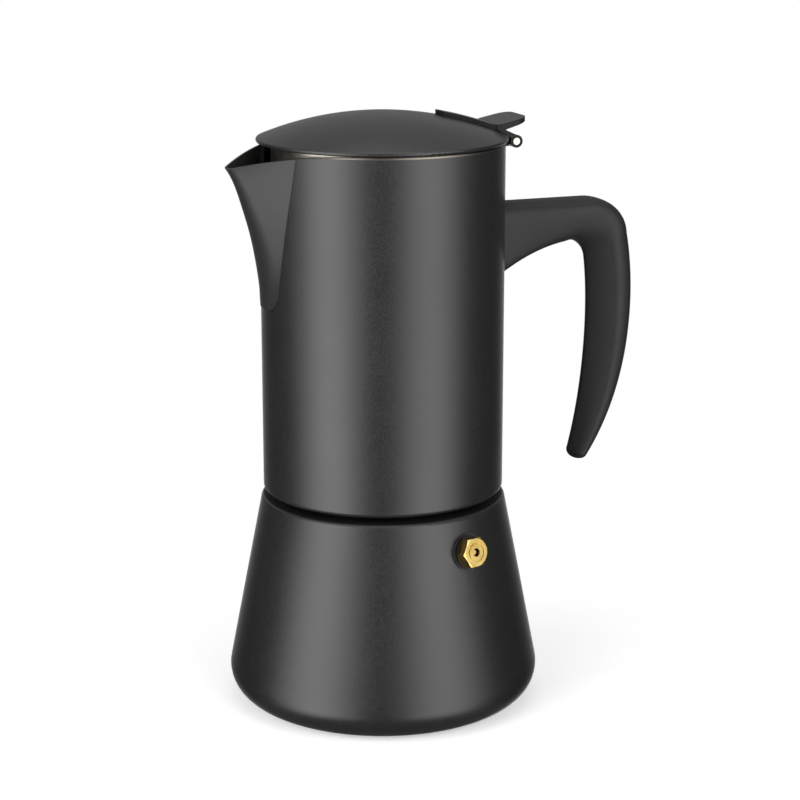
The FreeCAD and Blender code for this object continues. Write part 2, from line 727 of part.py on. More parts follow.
def spout_section(body, name, depth, nose, nose_round):
    """A level section of the spout's sheet: a V with a round nose whose sides pass over the seam."""
    sketch = new_sketch(body, name, "XY_Plane", f"{JUG_TOP} - {depth}")
    angle = seam_angle(depth)
    bend = value(nose_round)
    wall = value("dims.spout_wall")
    back = -value(SPOUT_BACK)
    centre = Vector(bend - value(nose), 0, 0)
    stand = "(dims.jug_radius + dims.seam_stand)"
    seam = Vector(-value(f"{stand} * cos({angle})"), value(f"{stand} * sin({angle})"), 0)
    reach = seam - centre
    slope = math.atan2(reach.y, reach.x) - math.asin(bend / reach.Length)
    normal = Vector(-math.sin(slope), math.cos(slope), 0)

    def mirrored(point):
        return Vector(point.x, -point.y, 0)

    def side(radius):
        touch = centre + normal * radius
        return touch, Vector(back, touch.y + (back - touch.x) * math.tan(slope), 0)

    def nose_arc(radius):
        ring = Part.Circle(centre, Vector(0, 0, 1), radius)
        return Part.ArcOfCircle(ring, math.pi / 2 + slope, 3 * math.pi / 2 - slope)

    outer_touch, outer_end = side(bend)
    inner_touch, inner_end = side(bend - wall)
    corners = [outer_touch, outer_end, inner_end, inner_touch]
    outer_nose = sketch.addGeometry(nose_arc(bend), False)
    inner_nose = sketch.addGeometry(nose_arc(bend - wall), False)
    upper = [sketch.addGeometry(Part.LineSegment(a, b), False) for a, b in zip(corners, corners[1:])]
    corners = [mirrored(point) for point in corners]
    lower = [sketch.addGeometry(Part.LineSegment(a, b), False) for a, b in zip(corners, corners[1:])]
    for side_lines, arc_end, sign in ((upper, 1, ""), (lower, 2, "-")):
        outer_line, end_line, inner_line = side_lines
        over = mirrored(seam) if sign else seam
        mark = sketch.addGeometry(Part.Point(over), True)
        sketch.addConstraint([
            Sketcher.Constraint("Tangent", outer_nose, arc_end, outer_line, 1),
            Sketcher.Constraint("Coincident", outer_line, 2, end_line, 1),
            Sketcher.Constraint("Coincident", end_line, 2, inner_line, 1),
            Sketcher.Constraint("Tangent", inner_line, 2, inner_nose, arc_end),
            Sketcher.Constraint("PointOnObject", mark, 1, outer_line),
            Sketcher.Constraint("Parallel", outer_line, inner_line),
        ])
        drive(sketch, "DistanceX", (-1, 1, mark, 1), f"-{stand} * cos({angle})")
        drive(sketch, "DistanceY", (-1, 1, mark, 1), f"{sign}{stand} * sin({angle})")
        drive(sketch, "DistanceX", (-1, 1, end_line, 1), f"-{SPOUT_BACK}")
        drive(sketch, "DistanceX", (-1, 1, end_line, 2), f"-{SPOUT_BACK}")
    sketch.addConstraint(Sketcher.Constraint("Coincident", outer_nose, 3, inner_nose, 3))
    drive(sketch, "DistanceX", (-1, 1, outer_nose, 3), f"{nose_round} - ({nose})")
    drive(sketch, "DistanceY", (-1, 1, outer_nose, 3), "0")
    drive(sketch, "Radius", (outer_nose,), nose_round)
    drive(sketch, "Radius", (inner_nose,), f"{nose_round} - dims.spout_wall")
    return sketch


def jug_spout():
    body = new_body("jug_spout")
    sections = []
    for number, level in enumerate(SPOUT_LEVELS):
        depth = f"({level} * dims.spout_depth)"
        above_start = f"(dims.nose_start - {depth})"
        curve = f"dims.nose_curve - sqrt(pow(dims.nose_curve; 2) - pow({above_start}; 2))"
        nose = f"({NOSE} + {curve})"
        if level == 0.0:
            nose = f"({nose} + dims.lip_flare)"
        nose_round = f"(dims.nose_tip + (dims.nose_low - dims.nose_tip) * min({depth} / dims.nose_blend; 1))"
        sections.append(spout_section(body, f"section_{number}", depth, nose, nose_round))
    loft(body, "sheet_form", sections)
    bore = new_sketch(body, "jug_wall", "XY_Plane")
    circle(bore, "0", "0", "dims.jug_radius + dims.weld_gap")
    pocket(body, "jug_wall_cut", bore, both_ways=True)
    edge = new_sketch(body, "seam", "YZ_Plane")
    seam_outline(edge, "0")
    rectangle(edge, "-2 * dims.jug_radius", f"{JUG_TOP} - 2 * dims.spout_depth",
              "2 * dims.jug_radius", f"{JUG_TOP} + 2 * dims.lip_flare")
    pocket(body, "seam_cut", edge)
    pocket(body, "rim_dip_cut", dip_sketch(body), both_ways=True)
    return body


def jug_floor():
    body = new_body("jug_floor")
    edge = f"({JUG_INSIDE} - dims.weld_gap)"
    revolve(body, "floor", [
        ("dims.riser_hole", FLOOR_BOTTOM),
        (edge, FLOOR_BOTTOM),
        (edge, f"{FLOOR_TOP} + dims.floor_upturn"),
        (f"{edge} - dims.jug_wall", f"{FLOOR_TOP} + dims.floor_upturn"),
        (f"{edge} - dims.jug_wall", FLOOR_TOP),
        ("dims.riser_hole", FLOOR_TOP),
    ])
    return body


def jug_collar():
    return flat_ring("jug_collar", RING_INSIDE, RING_OUTSIDE, JUG_BOTTOM, FLOOR_BOTTOM)


def riser_tube():
    body = new_body("riser_tube")
    foot = f"({FLOOR_TOP} + dims.seat_gap)"
    land = f"({RISER_TOP} - dims.riser_land)"
    revolve(body, "column", [
        ("dims.riser_base - dims.sheet", foot),
        ("dims.riser_foot", foot),
        ("dims.riser_foot", f"{foot} + dims.sheet"),
        ("dims.riser_base", f"{foot} + dims.sheet"),
        ("dims.riser_top", land),
        ("dims.riser_top", RISER_TOP),
        ("dims.riser_top - dims.sheet", RISER_TOP),
        ("dims.riser_top - dims.sheet", land),
    ])
    return body


def riser_cap():
    body = new_body("riser_cap")
    inside = "(dims.riser_top + dims.weld_gap)"
    outside = f"({inside} + dims.cap_wall)"
    skirt = f"({RISER_TOP} - dims.cap_skirt)"
    crown = f"({RISER_TOP} + dims.cap_crown)"
    revolve(body, "cap", [
        (inside, skirt),
        (outside, skirt),
        (outside, f"{crown} - {outside} / 2", outside, 1),
        ("0", crown),
        ("0", f"{crown} - dims.cap_wall"),
        (inside, f"{crown} - {outside} / 2"),
    ])
    window = new_sketch(body, "window", "XZ_Plane")
    bottom = f"({RISER_TOP} + dims.cap_wall)"
    half = "(dims.window_width / 2)"
    rectangle(window, f"-{half}", bottom, half, f"{bottom} + dims.window_height")
    pocket(body, "window_cut", window, both_ways=True)
    return body


# The handle, its tongue and its screw.

ARM_TOP = f"({JUG_TOP} - dims.handle_drop)"
ARM_FOOT = f"({ARM_TOP} - dims.handle_arm)"
GRIP_X = "(dims.jug_radius + dims.handle_stand)"
GRIP_TOP = f"({ARM_TOP} - dims.bend_drop)"
GRIP_LENGTH = "(dims.handle_length - dims.bend_drop)"
TONGUE_LINE = f"({ARM_TOP} - dims.tongue_inset)"
SCREW_X = "(dims.jug_radius + dims.screw_stand)"
# Width and edge rounding before the grip thins, and the number of sections along each run.
FULL_SECTION = ("dims.handle_width", "dims.edge_round")
ARM_SECTIONS = 4
ELBOW_SECTIONS = 5
GRIP_SECTIONS = 9
# How sharply the grip draws in towards its tail: the power of the share of its length.
GRIP_CURVE = 2.88
# How soon the shoulder at its start dies away, as a power too, and the lean that it gives there.
SHOULDER_CURVE = 6
GRIP_LEAN = f"({SHOULDER_CURVE} * dims.handle_shoulder / {GRIP_LENGTH})"
# The bend has one arc along the outside and one along the finger side, from the arm to the grip's first section.
BEND_TURN = f"(90 deg - atan({GRIP_LEAN}))"
BEND_X = f"({GRIP_X} - dims.handle_shoulder)"
HALF_RUN = f"(dims.handle_depth / 2 * cos(atan({GRIP_LEAN})))"
HALF_RISE = f"(dims.handle_depth / 2 * sin(atan({GRIP_LEAN})))"
OUTER_ROUND = f"(({ARM_TOP} - {GRIP_TOP} - {HALF_RISE}) / (1 - cos({BEND_TURN})))"
INNER_ROUND = f"(({ARM_FOOT} - {GRIP_TOP} + {HALF_RISE}) / (1 - cos({BEND_TURN})))"
ARM_END = f"({BEND_X} + {HALF_RUN} - {OUTER_ROUND} * sin({BEND_TURN}))"


def handle_section(body, name, x, z, tilt, depth, width, edge):
    """A rounded section square to the handle's run, which narrows towards the finger side at local +x."""
    sketch = new_sketch(body, name, "XY_Plane")
    sketch.AttachmentOffset = Placement(Vector(0, 0, 0), Rotation(Vector(0, 1, 0), 90))
    sketch.setExpression("AttachmentOffset.Base.x", x)
    sketch.setExpression("AttachmentOffset.Base.z", z)
    sketch.setExpression("AttachmentOffset.Rotation.Angle", tilt)
    half = f"({depth} / 2)"
    outer = f"({width} / 2)"
    inner = f"(dims.handle_taper * {outer})"
    draft = f"atan(({outer} - {inner}) / {depth})"
    outer_run = f"({edge} * tan(45 deg + {draft} / 2))"
    inner_run = f"({edge} * tan(45 deg - {draft} / 2))"
    outer_flat = f"({outer} - {outer_run})"
    inner_flat = f"({inner} - {inner_run})"
    outer_x = f"({outer_run} * cos({draft}) - {half})"
    outer_y = f"({outer} - {outer_run} * sin({draft}))"
    inner_x = f"({half} - {inner_run} * cos({draft}))"
    inner_y = f"({inner} + {inner_run} * sin({draft}))"
    outline(sketch, [
        (half, f"-{inner_flat}"),
        (half, inner_flat, edge, 1),
        (inner_x, inner_y),
        (outer_x, outer_y, edge, 1),
        (f"-{half}", outer_flat),
        (f"-{half}", f"-{outer_flat}", edge, 1),
        (outer_x, f"-{outer_y}"),
        (inner_x, f"-{inner_y}", edge, 1),
    ])
    return sketch


def arm_sections(body):
    """From inside the jug's wall towards the bend, with a deeper root."""
    sections = []
    start = "(dims.jug_radius - 3 * dims.jug_wall)"
    for number in range(ARM_SECTIONS):
        share = number / ARM_SECTIONS
        x = f"({start} + {share} * ({ARM_END} - {start}))"
        depth = f"(dims.handle_arm + (dims.handle_root - dims.handle_arm) * pow(1 - {share}; 2))"
        z = f"{ARM_TOP} - {depth} / 2"
        sections.append(handle_section(body, f"arm_{number}", x, z, "90", depth, *FULL_SECTION))
    return sections


def elbow_sections(body):
    """Round the bend, from the arm's end. Each section joins the arcs where they have turned equally far."""
    sections = []
    for number in range(ELBOW_SECTIONS):
        turn = f"({number / ELBOW_SECTIONS} * {BEND_TURN})"
        left_x = f"(sin({BEND_TURN}) - sin({turn}))"
        gone_z = f"(1 - cos({turn}))"
        outer_x = f"({BEND_X} + {HALF_RUN} - {OUTER_ROUND} * {left_x})"
        outer_z = f"({ARM_TOP} - {OUTER_ROUND} * {gone_z})"
        inner_x = f"({BEND_X} - {HALF_RUN} - {INNER_ROUND} * {left_x})"
        inner_z = f"({ARM_FOOT} - {INNER_ROUND} * {gone_z})"
        x = f"({outer_x} + {inner_x}) / 2"
        z = f"({outer_z} + {inner_z}) / 2"
        tilt = f"atan2({outer_z} - {inner_z}; {inner_x} - {outer_x})"
        depth = f"hypot({outer_z} - {inner_z}; {inner_x} - {outer_x})"
        sections.append(handle_section(body, f"elbow_{number}", x, z, tilt, depth, *FULL_SECTION))
    return sections


def grip_sections(body):
    """From the end of the bend to the tail, which draws in towards the pot and thins."""
    sections = []
    for number in range(GRIP_SECTIONS):
        share = number / (GRIP_SECTIONS - 1)
        drawn = share ** GRIP_CURVE
        shoulder = (1 - share) ** SHOULDER_CURVE
        shoulder_rate = (1 - share) ** (SHOULDER_CURVE - 1)
        draw_rate = GRIP_CURVE * share ** (GRIP_CURVE - 1)
        x = f"{GRIP_X} - dims.handle_inset * {drawn} - dims.handle_shoulder * {shoulder}"
        z = f"{GRIP_TOP} - {share} * {GRIP_LENGTH}"
        lean = f"({draw_rate} * dims.handle_inset / {GRIP_LENGTH} - {GRIP_LEAN} * {shoulder_rate})"
        depth = f"(dims.handle_depth + (dims.tail_depth - dims.handle_depth) * {drawn})"
        width = f"(dims.handle_width + (dims.tail_width - dims.handle_width) * {drawn})"
        edge = f"(dims.edge_round + (dims.tail_round - dims.edge_round) * {drawn})"
        section = handle_section(body, f"grip_{number}", x, z, f"180 deg + atan({lean})", depth, width, edge)
        sections.append(section)
    return sections


def round_tail(body):
    """Round the edges of the handle's lowest flat face."""
    base = body.Tip
    tail = min(base.Shape.Faces, key=lambda face: face.CenterOfMass.z)
    picked = []
    for number, edge in enumerate(base.Shape.Edges, start=1):
        if any(edge.isSame(tail_edge) for tail_edge in tail.Edges):
            picked.append(f"Edge{number}")
    feature = body.newObject("PartDesign::Fillet", "tail_round")
    feature.Base = (base, picked)
    feature.setExpression("Radius", "dims.tail_end")
    doc.recompute()


def handle():
    body = new_body("handle")
    arm = arm_sections(body)
    elbow = elbow_sections(body)
    grip = grip_sections(body)
    loft(body, "arm", [*arm, elbow[0]])
    loft(body, "elbow", [*elbow, grip[0]])
    loft(body, "grip", grip)
    round_tail(body)
    wall = new_sketch(body, "jug_wall", "XY_Plane")
    circle(wall, "0", "0", "dims.jug_radius + dims.handle_gap")
    pocket(body, "jug_wall_cut", wall, both_ways=True)
    socket = new_sketch(body, "socket", "YZ_Plane")
    half_width = "(dims.tongue_width / 2 + dims.tongue_gap)"
    half_height = "(dims.tongue_height / 2 + dims.tongue_gap)"
    bottom = f"{TONGUE_LINE} - {half_height}"
    rectangle(socket, f"-{half_width}", bottom, half_width, f"{TONGUE_LINE} + {half_height}")
    reach = "dims.jug_radius + dims.tongue_length + dims.tongue_gap"
    pocket(body, "socket_cut", socket, reach, backwards=True)
    screw_seat = f"{bottom} - dims.screw_wall"
    for name, radius, length, up in (
        ("counterbore", "dims.screw_head + dims.tongue_gap", "dims.handle_arm", False),
        ("screw_hole", "dims.screw_radius + dims.tongue_gap", "dims.screw_wall + dims.tongue_gap", True),
    ):
        sketch = new_sketch(body, name, "XY_Plane", screw_seat)
        circle(sketch, SCREW_X, "0", radius)
        pocket(body, f"{name}_cut", sketch, length, backwards=up)
    return body


def handle_bracket():
    body = new_body("handle_bracket")
    section = new_sketch(body, "section", "YZ_Plane")
    half_width = "(dims.tongue_width / 2)"
    half_height = "(dims.tongue_height / 2)"
    bottom = f"{TONGUE_LINE} - {half_height}"
    rectangle(section, f"-{half_width}", bottom, half_width, f"{TONGUE_LINE} + {half_height}")
    pad(body, "tongue", section, "dims.jug_radius + dims.tongue_length")
    wall = new_sketch(body, "jug_wall", "XY_Plane")
    circle(wall, "0", "0", "dims.jug_radius + dims.weld_gap")
    pocket(body, "jug_wall_cut", wall, both_ways=True)
    tapping = new_sketch(body, "tapping", "XY_Plane", bottom)
    circle(tapping, SCREW_X, "0", "dims.screw_radius + dims.weld_gap")
    pocket(body, "tapping_cut", tapping, "dims.tongue_height", backwards=True)
    return body


def handle_screw():
    body = new_body("handle_screw")
    shank = "dims.screw_wall + dims.tongue_gap + dims.screw_bite"
    revolve(body, "screw", [
        ("0", "-dims.screw_head_height"),
        ("dims.screw_head", "-dims.screw_head_height"),
        ("dims.screw_head", "-dims.seat_gap"),
        ("dims.screw_radius", "-dims.seat_gap"),
        ("dims.screw_radius", shank),
        ("0", shank),
    ])
    recess = new_sketch(body, "recess", "XY_Plane", "-dims.screw_head_height")
    arm = "(dims.screw_head * 0.6)"
    half = "(dims.recess_width / 2)"
    outline(recess, [
        (arm, f"-{half}"), (arm, half), (half, half), (half, arm), (f"-{half}", arm), (f"-{half}", half),
        (f"-{arm}", half), (f"-{arm}", f"-{half}"), (f"-{half}", f"-{half}"), (f"-{half}", f"-{arm}"),
        (half, f"-{arm}"), (half, f"-{half}"),
    ])
    pocket(body, "recess_cut", recess, "dims.recess_depth", backwards=True)
    seat = value(f"{TONGUE_LINE} - dims.tongue_height / 2 - dims.tongue_gap - dims.screw_wall")
    body.Placement = Placement(Vector(value(SCREW_X), 0, seat), Rotation())
    return body


# The hinge.

def hinge_bracket():
    body = new_body("hinge_bracket")
    inside = "(dims.jug_radius + dims.weld_gap)"
    outside = f"({inside} + dims.leaf_thickness)"
    half = "dims.knuckle_half"
    leaf = new_sketch(body, "leaf", "XY_Plane", f"{HINGE_HEIGHT} - dims.leaf_length")
    inner_x = f"sqrt(pow({inside}; 2) - pow({half}; 2))"
    outer_x = f"sqrt(pow({outside}; 2) - pow({half}; 2))"
    outline(leaf, [
        (inner_x, f"-{half}"),
        (outer_x, f"-{half}", outside, 1),
        (outer_x, half),
        (inner_x, half, inside, -1),
    ])
    pad(body, "leaf_sheet", leaf, "dims.leaf_length - dims.hinge_drop")
    web = new_sketch(body, "web", "XZ_Plane")
    under = f"({HINGE_HEIGHT} - {KNUCKLE})"
    rectangle(web, f"{inside} + dims.leaf_thickness / 2", under, HINGE_X, f"{under} + dims.leaf_thickness")
    pad(body, "web_sheet", web, "2 * dims.knuckle_half", both_ways=True)
    knuckle = new_sketch(body, "knuckle", "XZ_Plane")
    circle(knuckle, HINGE_X, HINGE_HEIGHT, KNUCKLE)
    pad(body, "knuckle_roll", knuckle, "2 * dims.knuckle_half", both_ways=True)
    pin = new_sketch(body, "pin_hole", "XZ_Plane")
    circle(pin, HINGE_X, HINGE_HEIGHT, "dims.pin_radius + dims.running_gap")
    pocket(body, "pin_hole_cut", pin, both_ways=True)
    return body


def hinge_pin():
    body = new_body("hinge_pin")
    half = "(dims.lever_width / 2)"
    tip = "(dims.pin_radius - dims.pin_end_round)"
    revolve(body, "pin", [
        ("0", f"-{half}"),
        (tip, f"-{half}"),
        ("dims.pin_radius", f"dims.pin_end_round - {half}"),
        ("dims.pin_radius", f"{half} - dims.pin_end_round"),
        (tip, half),
        ("0", half),
    ])
    place = Vector(value(HINGE_X), 0, value(HINGE_HEIGHT))
    body.Placement = Placement(place, Rotation(Vector(1, 0, 0), 90))
    return body


# The lid.

LEVER_ROOT = f"({LID} - dims.lever_setback)"
LEVER_TIP = f"({LEVER_ROOT} + dims.tab_length)"
LEVER_START = f"({LEVER_ROOT} - dims.lever_length)"


def dome_edge(bead):
    """Where the dome's sphere runs into the bead: radius and height."""
    return (f"{BEAD_CENTRE} + {bead} * sin({DOME_SLOPE})", f"{BEAD_HEIGHT} + {bead} * cos({DOME_SLOPE})")


def lid_shell():
    body = new_body("lid_shell")
    outer_edge = dome_edge("dims.lid_bead")
    inner_edge = dome_edge("(dims.lid_bead - dims.lid_wall)")
    revolve(body, "dome", [
        (f"{BEAD_CENTRE} - dims.lid_wall", f"{BEAD_HEIGHT} - dims.lid_bead"),
        (BEAD_CENTRE, f"{BEAD_HEIGHT} - dims.lid_bead", "dims.lid_bead", 1),
        (f"{BEAD_CENTRE} + dims.lid_bead", BEAD_HEIGHT, "dims.lid_bead", 1),
        (*outer_edge, DOME, 1),
        ("0", DOME_TOP),
        ("0", f"{DOME_TOP} - dims.lid_wall", f"{DOME} - dims.lid_wall", -1),
        inner_edge,
        (f"{BEAD_CENTRE} - dims.lid_wall", f"{BEAD_HEIGHT} - dims.lid_bead / 2"),
    ])
    return body


def lid_skirt():
    body = new_body("lid_skirt")
    flange = f"({BEAD_CENTRE} - dims.lid_wall - dims.weld_gap)"
    bottom = f"({BEAD_HEIGHT} - dims.lid_bead)"
    revolve(body, "ring", [
        (f"{SKIRT} - dims.lid_wall", f"{bottom} - dims.skirt_depth"),
        (SKIRT, f"{bottom} - dims.skirt_depth"),
        (SKIRT, bottom),
        (flange, bottom),
        (flange, f"{bottom} + dims.lid_bead / 2"),
        (f"{SKIRT} - dims.lid_wall", f"{bottom} + dims.lid_bead / 2"),
    ])
    return body


def lid_lever():
    body = new_body("lid_lever")
    top = f"({DOME} + dims.lever_thickness)"
    centre = f"({DOME_TOP} - {DOME})"

    def on_sphere(x, radius):
        return f"{centre} + sqrt(pow({radius}; 2) - pow({x}; 2))"

    begin = f"({LEVER_START} / 2)"
    revolve(body, "plate", [
        (begin, on_sphere(begin, DOME)),
        (LEVER_ROOT, on_sphere(LEVER_ROOT, DOME)),
        (LEVER_ROOT, on_sphere(LEVER_ROOT, top), top, 1),
        (begin, on_sphere(begin, top)),
    ])
    tab = new_sketch(body, "tab", "XZ_Plane")
    crease = f"({LEVER_ROOT} - dims.lever_thickness)"
    tip_top = f"({on_sphere(LEVER_ROOT, top)} + dims.tab_lift)"
    outline(tab, [
        (crease, on_sphere(crease, DOME)),
        (LEVER_ROOT, on_sphere(LEVER_ROOT, DOME)),
        (LEVER_TIP, f"{tip_top} - dims.lever_thickness"),
        (LEVER_TIP, tip_top),
        (crease, on_sphere(crease, top)),
    ])
    pad(body, "thumb_tab", tab, "dims.lever_width", both_ways=True)
    trim = new_sketch(body, "plan", "XY_Plane")
    half = "(dims.lever_width / 2)"
    bend = "dims.lever_round"
    nose = "(dims.lever_nose / 2)"
    outline(trim, [
        (LEVER_START, f"-{nose}"),
        (LEVER_ROOT, f"-{half}"),
        (f"{LEVER_TIP} - {bend}", f"-{half}", bend, 1),
        (LEVER_TIP, f"{bend} - {half}"),
        (LEVER_TIP, f"{half} - {bend}", bend, 1),
        (f"{LEVER_TIP} - {bend}", half),
        (LEVER_ROOT, half),
        (LEVER_START, nose, "dims.lever_nose", 1),
    ])
    beyond = f"(2 * {LID})"
    rectangle(trim, f"-{beyond}", f"-{beyond}", beyond, beyond)
    pocket(body, "plan_cut", trim, both_ways=True)
    finger = new_sketch(body, "finger", "XZ_Plane")
    over_bead = f"({BEAD_HEIGHT} + dims.lid_bead + dims.finger_thickness)"
    outline(finger, [
        (crease, on_sphere(crease, DOME)),
        (HINGE_X, HINGE_HEIGHT),
        (HINGE_X, f"{HINGE_HEIGHT} + {KNUCKLE}"),
        (BEAD_CENTRE, over_bead),
        (crease, on_sphere(crease, top)),
    ])
    pad(body, "fingers", finger, "dims.lever_width", both_ways=True)
    roll = new_sketch(body, "knuckle", "XZ_Plane")
    circle(roll, HINGE_X, HINGE_HEIGHT, KNUCKLE)
    pad(body, "knuckle_roll", roll, "dims.lever_width", both_ways=True)
    pin = new_sketch(body, "pin_hole", "XZ_Plane")
    circle(pin, HINGE_X, HINGE_HEIGHT, "dims.pin_radius + dims.running_gap")
    pocket(body, "pin_hole_cut", pin, both_ways=True)
    middle = new_sketch(body, "middle", "XZ_Plane")
    clear = f"({KNUCKLE} + dims.slip_gap)"
    circle(middle, HINGE_X, HINGE_HEIGHT, clear)
    pocket(body, "middle_cut", middle, "2 * (dims.knuckle_half + dims.knuckle_gap)", both_ways=True)
    outer_edge = dome_edge("(dims.lid_bead + dims.weld_gap)")
    groove(body, "lid_seat", [
        ("0", f"{BEAD_HEIGHT} - dims.skirt_depth"),
        (f"{BEAD_CENTRE} + dims.lid_bead + dims.weld_gap", f"{BEAD_HEIGHT} - dims.skirt_depth"),
        (f"{BEAD_CENTRE} + dims.lid_bead + dims.weld_gap", BEAD_HEIGHT, "dims.lid_bead + dims.weld_gap", 1),
        (*outer_edge, f"{DOME} + dims.weld_gap", 1),
        ("0", f"{DOME_TOP} + dims.weld_gap"),
    ])
    return body


VALVE_PIECES = (valve_body, valve_washer, valve_gasket, valve_nut, valve_seat, valve_poppet, valve_spring)
OTHER_PIECES = (
    boiler_shell, boiler_collar, funnel_basket, funnel_stem, funnel_sieve, seal_gasket, filter_plate,
    jug_shell, jug_spout, jug_floor, jug_collar, riser_tube, riser_cap, handle, handle_bracket, handle_screw,
    hinge_bracket, hinge_pin, lid_shell, lid_skirt, lid_lever,
)

pieces = [make() for make in OTHER_PIECES]
for make in VALVE_PIECES:
    piece = make()
    piece.Placement = valve_placement()
    pieces.append(piece)
doc.recompute()

for item in doc.Objects:
    if "Invalid" in item.State or "Error" in item.State:
        raise RuntimeError(f"{item.Name} failed: {item.State}")
for piece in pieces:
    if piece.Shape.isNull() or not piece.Shape.isValid() or len(piece.Shape.Solids) != 1:
        raise RuntimeError(f"{piece.Label}: no single valid solid")

os.makedirs("parts", exist_ok=True)
for piece in pieces:
    piece.Shape.exportStep(os.path.join("parts", f"{piece.Label}.step"))
    print(f"{piece.Label}: {piece.Shape.Volume / 1000:.3f} cm3")
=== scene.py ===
import json
import math

import bmesh
import bpy
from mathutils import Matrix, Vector


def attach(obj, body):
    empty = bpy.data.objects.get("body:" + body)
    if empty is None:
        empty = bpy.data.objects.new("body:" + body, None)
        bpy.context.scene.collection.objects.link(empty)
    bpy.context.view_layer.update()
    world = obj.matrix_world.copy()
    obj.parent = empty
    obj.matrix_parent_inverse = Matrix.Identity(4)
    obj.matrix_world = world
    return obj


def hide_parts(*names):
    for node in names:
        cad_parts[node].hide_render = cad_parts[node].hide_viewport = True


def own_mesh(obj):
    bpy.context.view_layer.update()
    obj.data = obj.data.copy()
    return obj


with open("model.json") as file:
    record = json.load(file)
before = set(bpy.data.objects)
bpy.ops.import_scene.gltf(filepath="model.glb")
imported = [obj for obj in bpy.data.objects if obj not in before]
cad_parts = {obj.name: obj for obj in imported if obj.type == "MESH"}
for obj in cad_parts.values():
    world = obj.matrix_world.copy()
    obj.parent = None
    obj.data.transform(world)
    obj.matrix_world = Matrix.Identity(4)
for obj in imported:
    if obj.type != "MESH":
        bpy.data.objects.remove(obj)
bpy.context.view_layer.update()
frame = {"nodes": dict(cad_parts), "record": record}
cad_nodes = frame["nodes"]

MM = 0.001
# Noise lies mostly between these two values.
NOISE_RANGE = (0.3, 0.7)
# Sockets of a Mix node for its two colours and for their mix. Its other kinds of value use the same names.
MIX_FIRST = 6
MIX_SECOND = 7
MIX_RESULT = 2


class Graph:
    """A node tree with short ways to add and join nodes."""

    def __init__(self, tree):
        self.tree = tree
        tree.nodes.clear()

    def add(self, kind, settings=None, **inputs):
        """A new node. The names of its sockets have _ for each space."""
        node = self.tree.nodes.new(kind)
        for name, value in (settings or {}).items():
            setattr(node, name, value)
        for name, value in inputs.items():
            self.put(node.inputs[name.replace("_", " ")], value)
        return node

    def put(self, socket, value):
        if isinstance(value, bpy.types.NodeSocket):
            self.tree.links.new(value, socket)
        else:
            socket.default_value = value

    def pair(self, kind, operation, first, second):
        """What a node makes of two values."""
        node = self.add(kind, {"operation": operation})
        self.put(node.inputs[0], first)
        self.put(node.inputs[1], second)
        return node.outputs[0]

    def math(self, operation, first, second=0.0):
        return self.pair("ShaderNodeMath", operation, first, second)

    def place(self):
        return self.add("ShaderNodeTexCoord").outputs["Object"]

    def height(self):
        return self.add("ShaderNodeSeparateXYZ", Vector=self.place()).outputs["Z"]

    def length(self, vector):
        return self.add("ShaderNodeVectorMath", {"operation": "LENGTH"}, Vector=vector).outputs["Value"]

    def off_axis(self, point, axis):
        """How far a place lies from a line."""
        arm = self.pair("ShaderNodeVectorMath", "SUBTRACT", self.place(), point)
        return self.length(self.pair("ShaderNodeVectorMath", "CROSS_PRODUCT", arm, axis))

    def noise(self, scale, detail=2.0, roughness=0.5, vector=None):
        if vector is None:
            vector = self.place()
        node = self.add("ShaderNodeTexNoise", Vector=vector, Scale=scale, Detail=detail, Roughness=roughness)
        return node.outputs["Fac"]

    def marks(self, stretch):
        """Noise drawn out into the fine level lines that a brush or a lathe leaves."""
        drawn = self.add("ShaderNodeMapping", Vector=self.place(), Scale=stretch)
        return self.noise(scale=1.0, detail=3.0, roughness=0.65, vector=drawn.outputs["Vector"])

    def spread(self, value, low, high):
        """Noise taken to the range from low to high."""
        least, most = NOISE_RANGE
        node = self.add(
            "ShaderNodeMapRange", Value=value, From_Min=least, From_Max=most, To_Min=low, To_Max=high
        )
        return node.outputs["Result"]

    def step(self, value, start, end):
        """Nought below start and one above end, with a smooth rise between them."""
        smooth = {"interpolation_type": "SMOOTHSTEP"}
        node = self.add("ShaderNodeMapRange", smooth, Value=value, From_Min=start, From_Max=end)
        return node.outputs["Result"]

    def blend(self, share, first, second):
        """The first colour where share is nought, the second where it is one."""
        node = self.add("ShaderNodeMix", {"data_type": "RGBA"}, Factor=share)
        self.put(node.inputs[MIX_FIRST], first)
        self.put(node.inputs[MIX_SECOND], second)
        return node.outputs[MIX_RESULT]

    def mottle(self, value, dark, pale):
        """A colour that wanders with noise between two."""
        return self.blend(self.spread(value, 0.0, 1.0), dark, pale)

    def bump(self, height, strength, distance):
        node = self.add("ShaderNodeBump", Height=height, Strength=strength, Distance=distance)
        return node.outputs["Normal"]

    def shade(self, **inputs):
        """The shader of a material, and its output."""
        shader = self.add("ShaderNodeBsdfPrincipled", **inputs)
        self.add("ShaderNodeOutputMaterial", Surface=shader.outputs["BSDF"])


def rgba(red, green, blue):
    return (red, green, blue, 1.0)


def new_material(name):
    """A new material and its empty graph."""
    material = bpy.data.materials.new(name)
    material.use_nodes = True
    return material, Graph(material.node_tree)


def new_mesh(name, corners, faces):
    mesh = bpy.data.meshes.new(name)
    mesh.from_pydata(corners, [], faces)
    return mesh


def new_object(name, data):
    """A new object, in the scene."""
    thing = bpy.data.objects.new(name, data)
    bpy.context.scene.collection.objects.link(thing)
    return thing


# The jug's rim, where its coating ends.
RIM_EDGE = (192.15 * MM, 192.35 * MM)
RIM_TINT = rgba(0.17, 0.155, 0.13)
# Below the thread, down in the seam, the steel is painted dark as shade.
SEAM_SHADE_EDGE = (74.6 * MM, 76.0 * MM)
SEAM_SHADE_TINT = rgba(0.02, 0.019, 0.018)
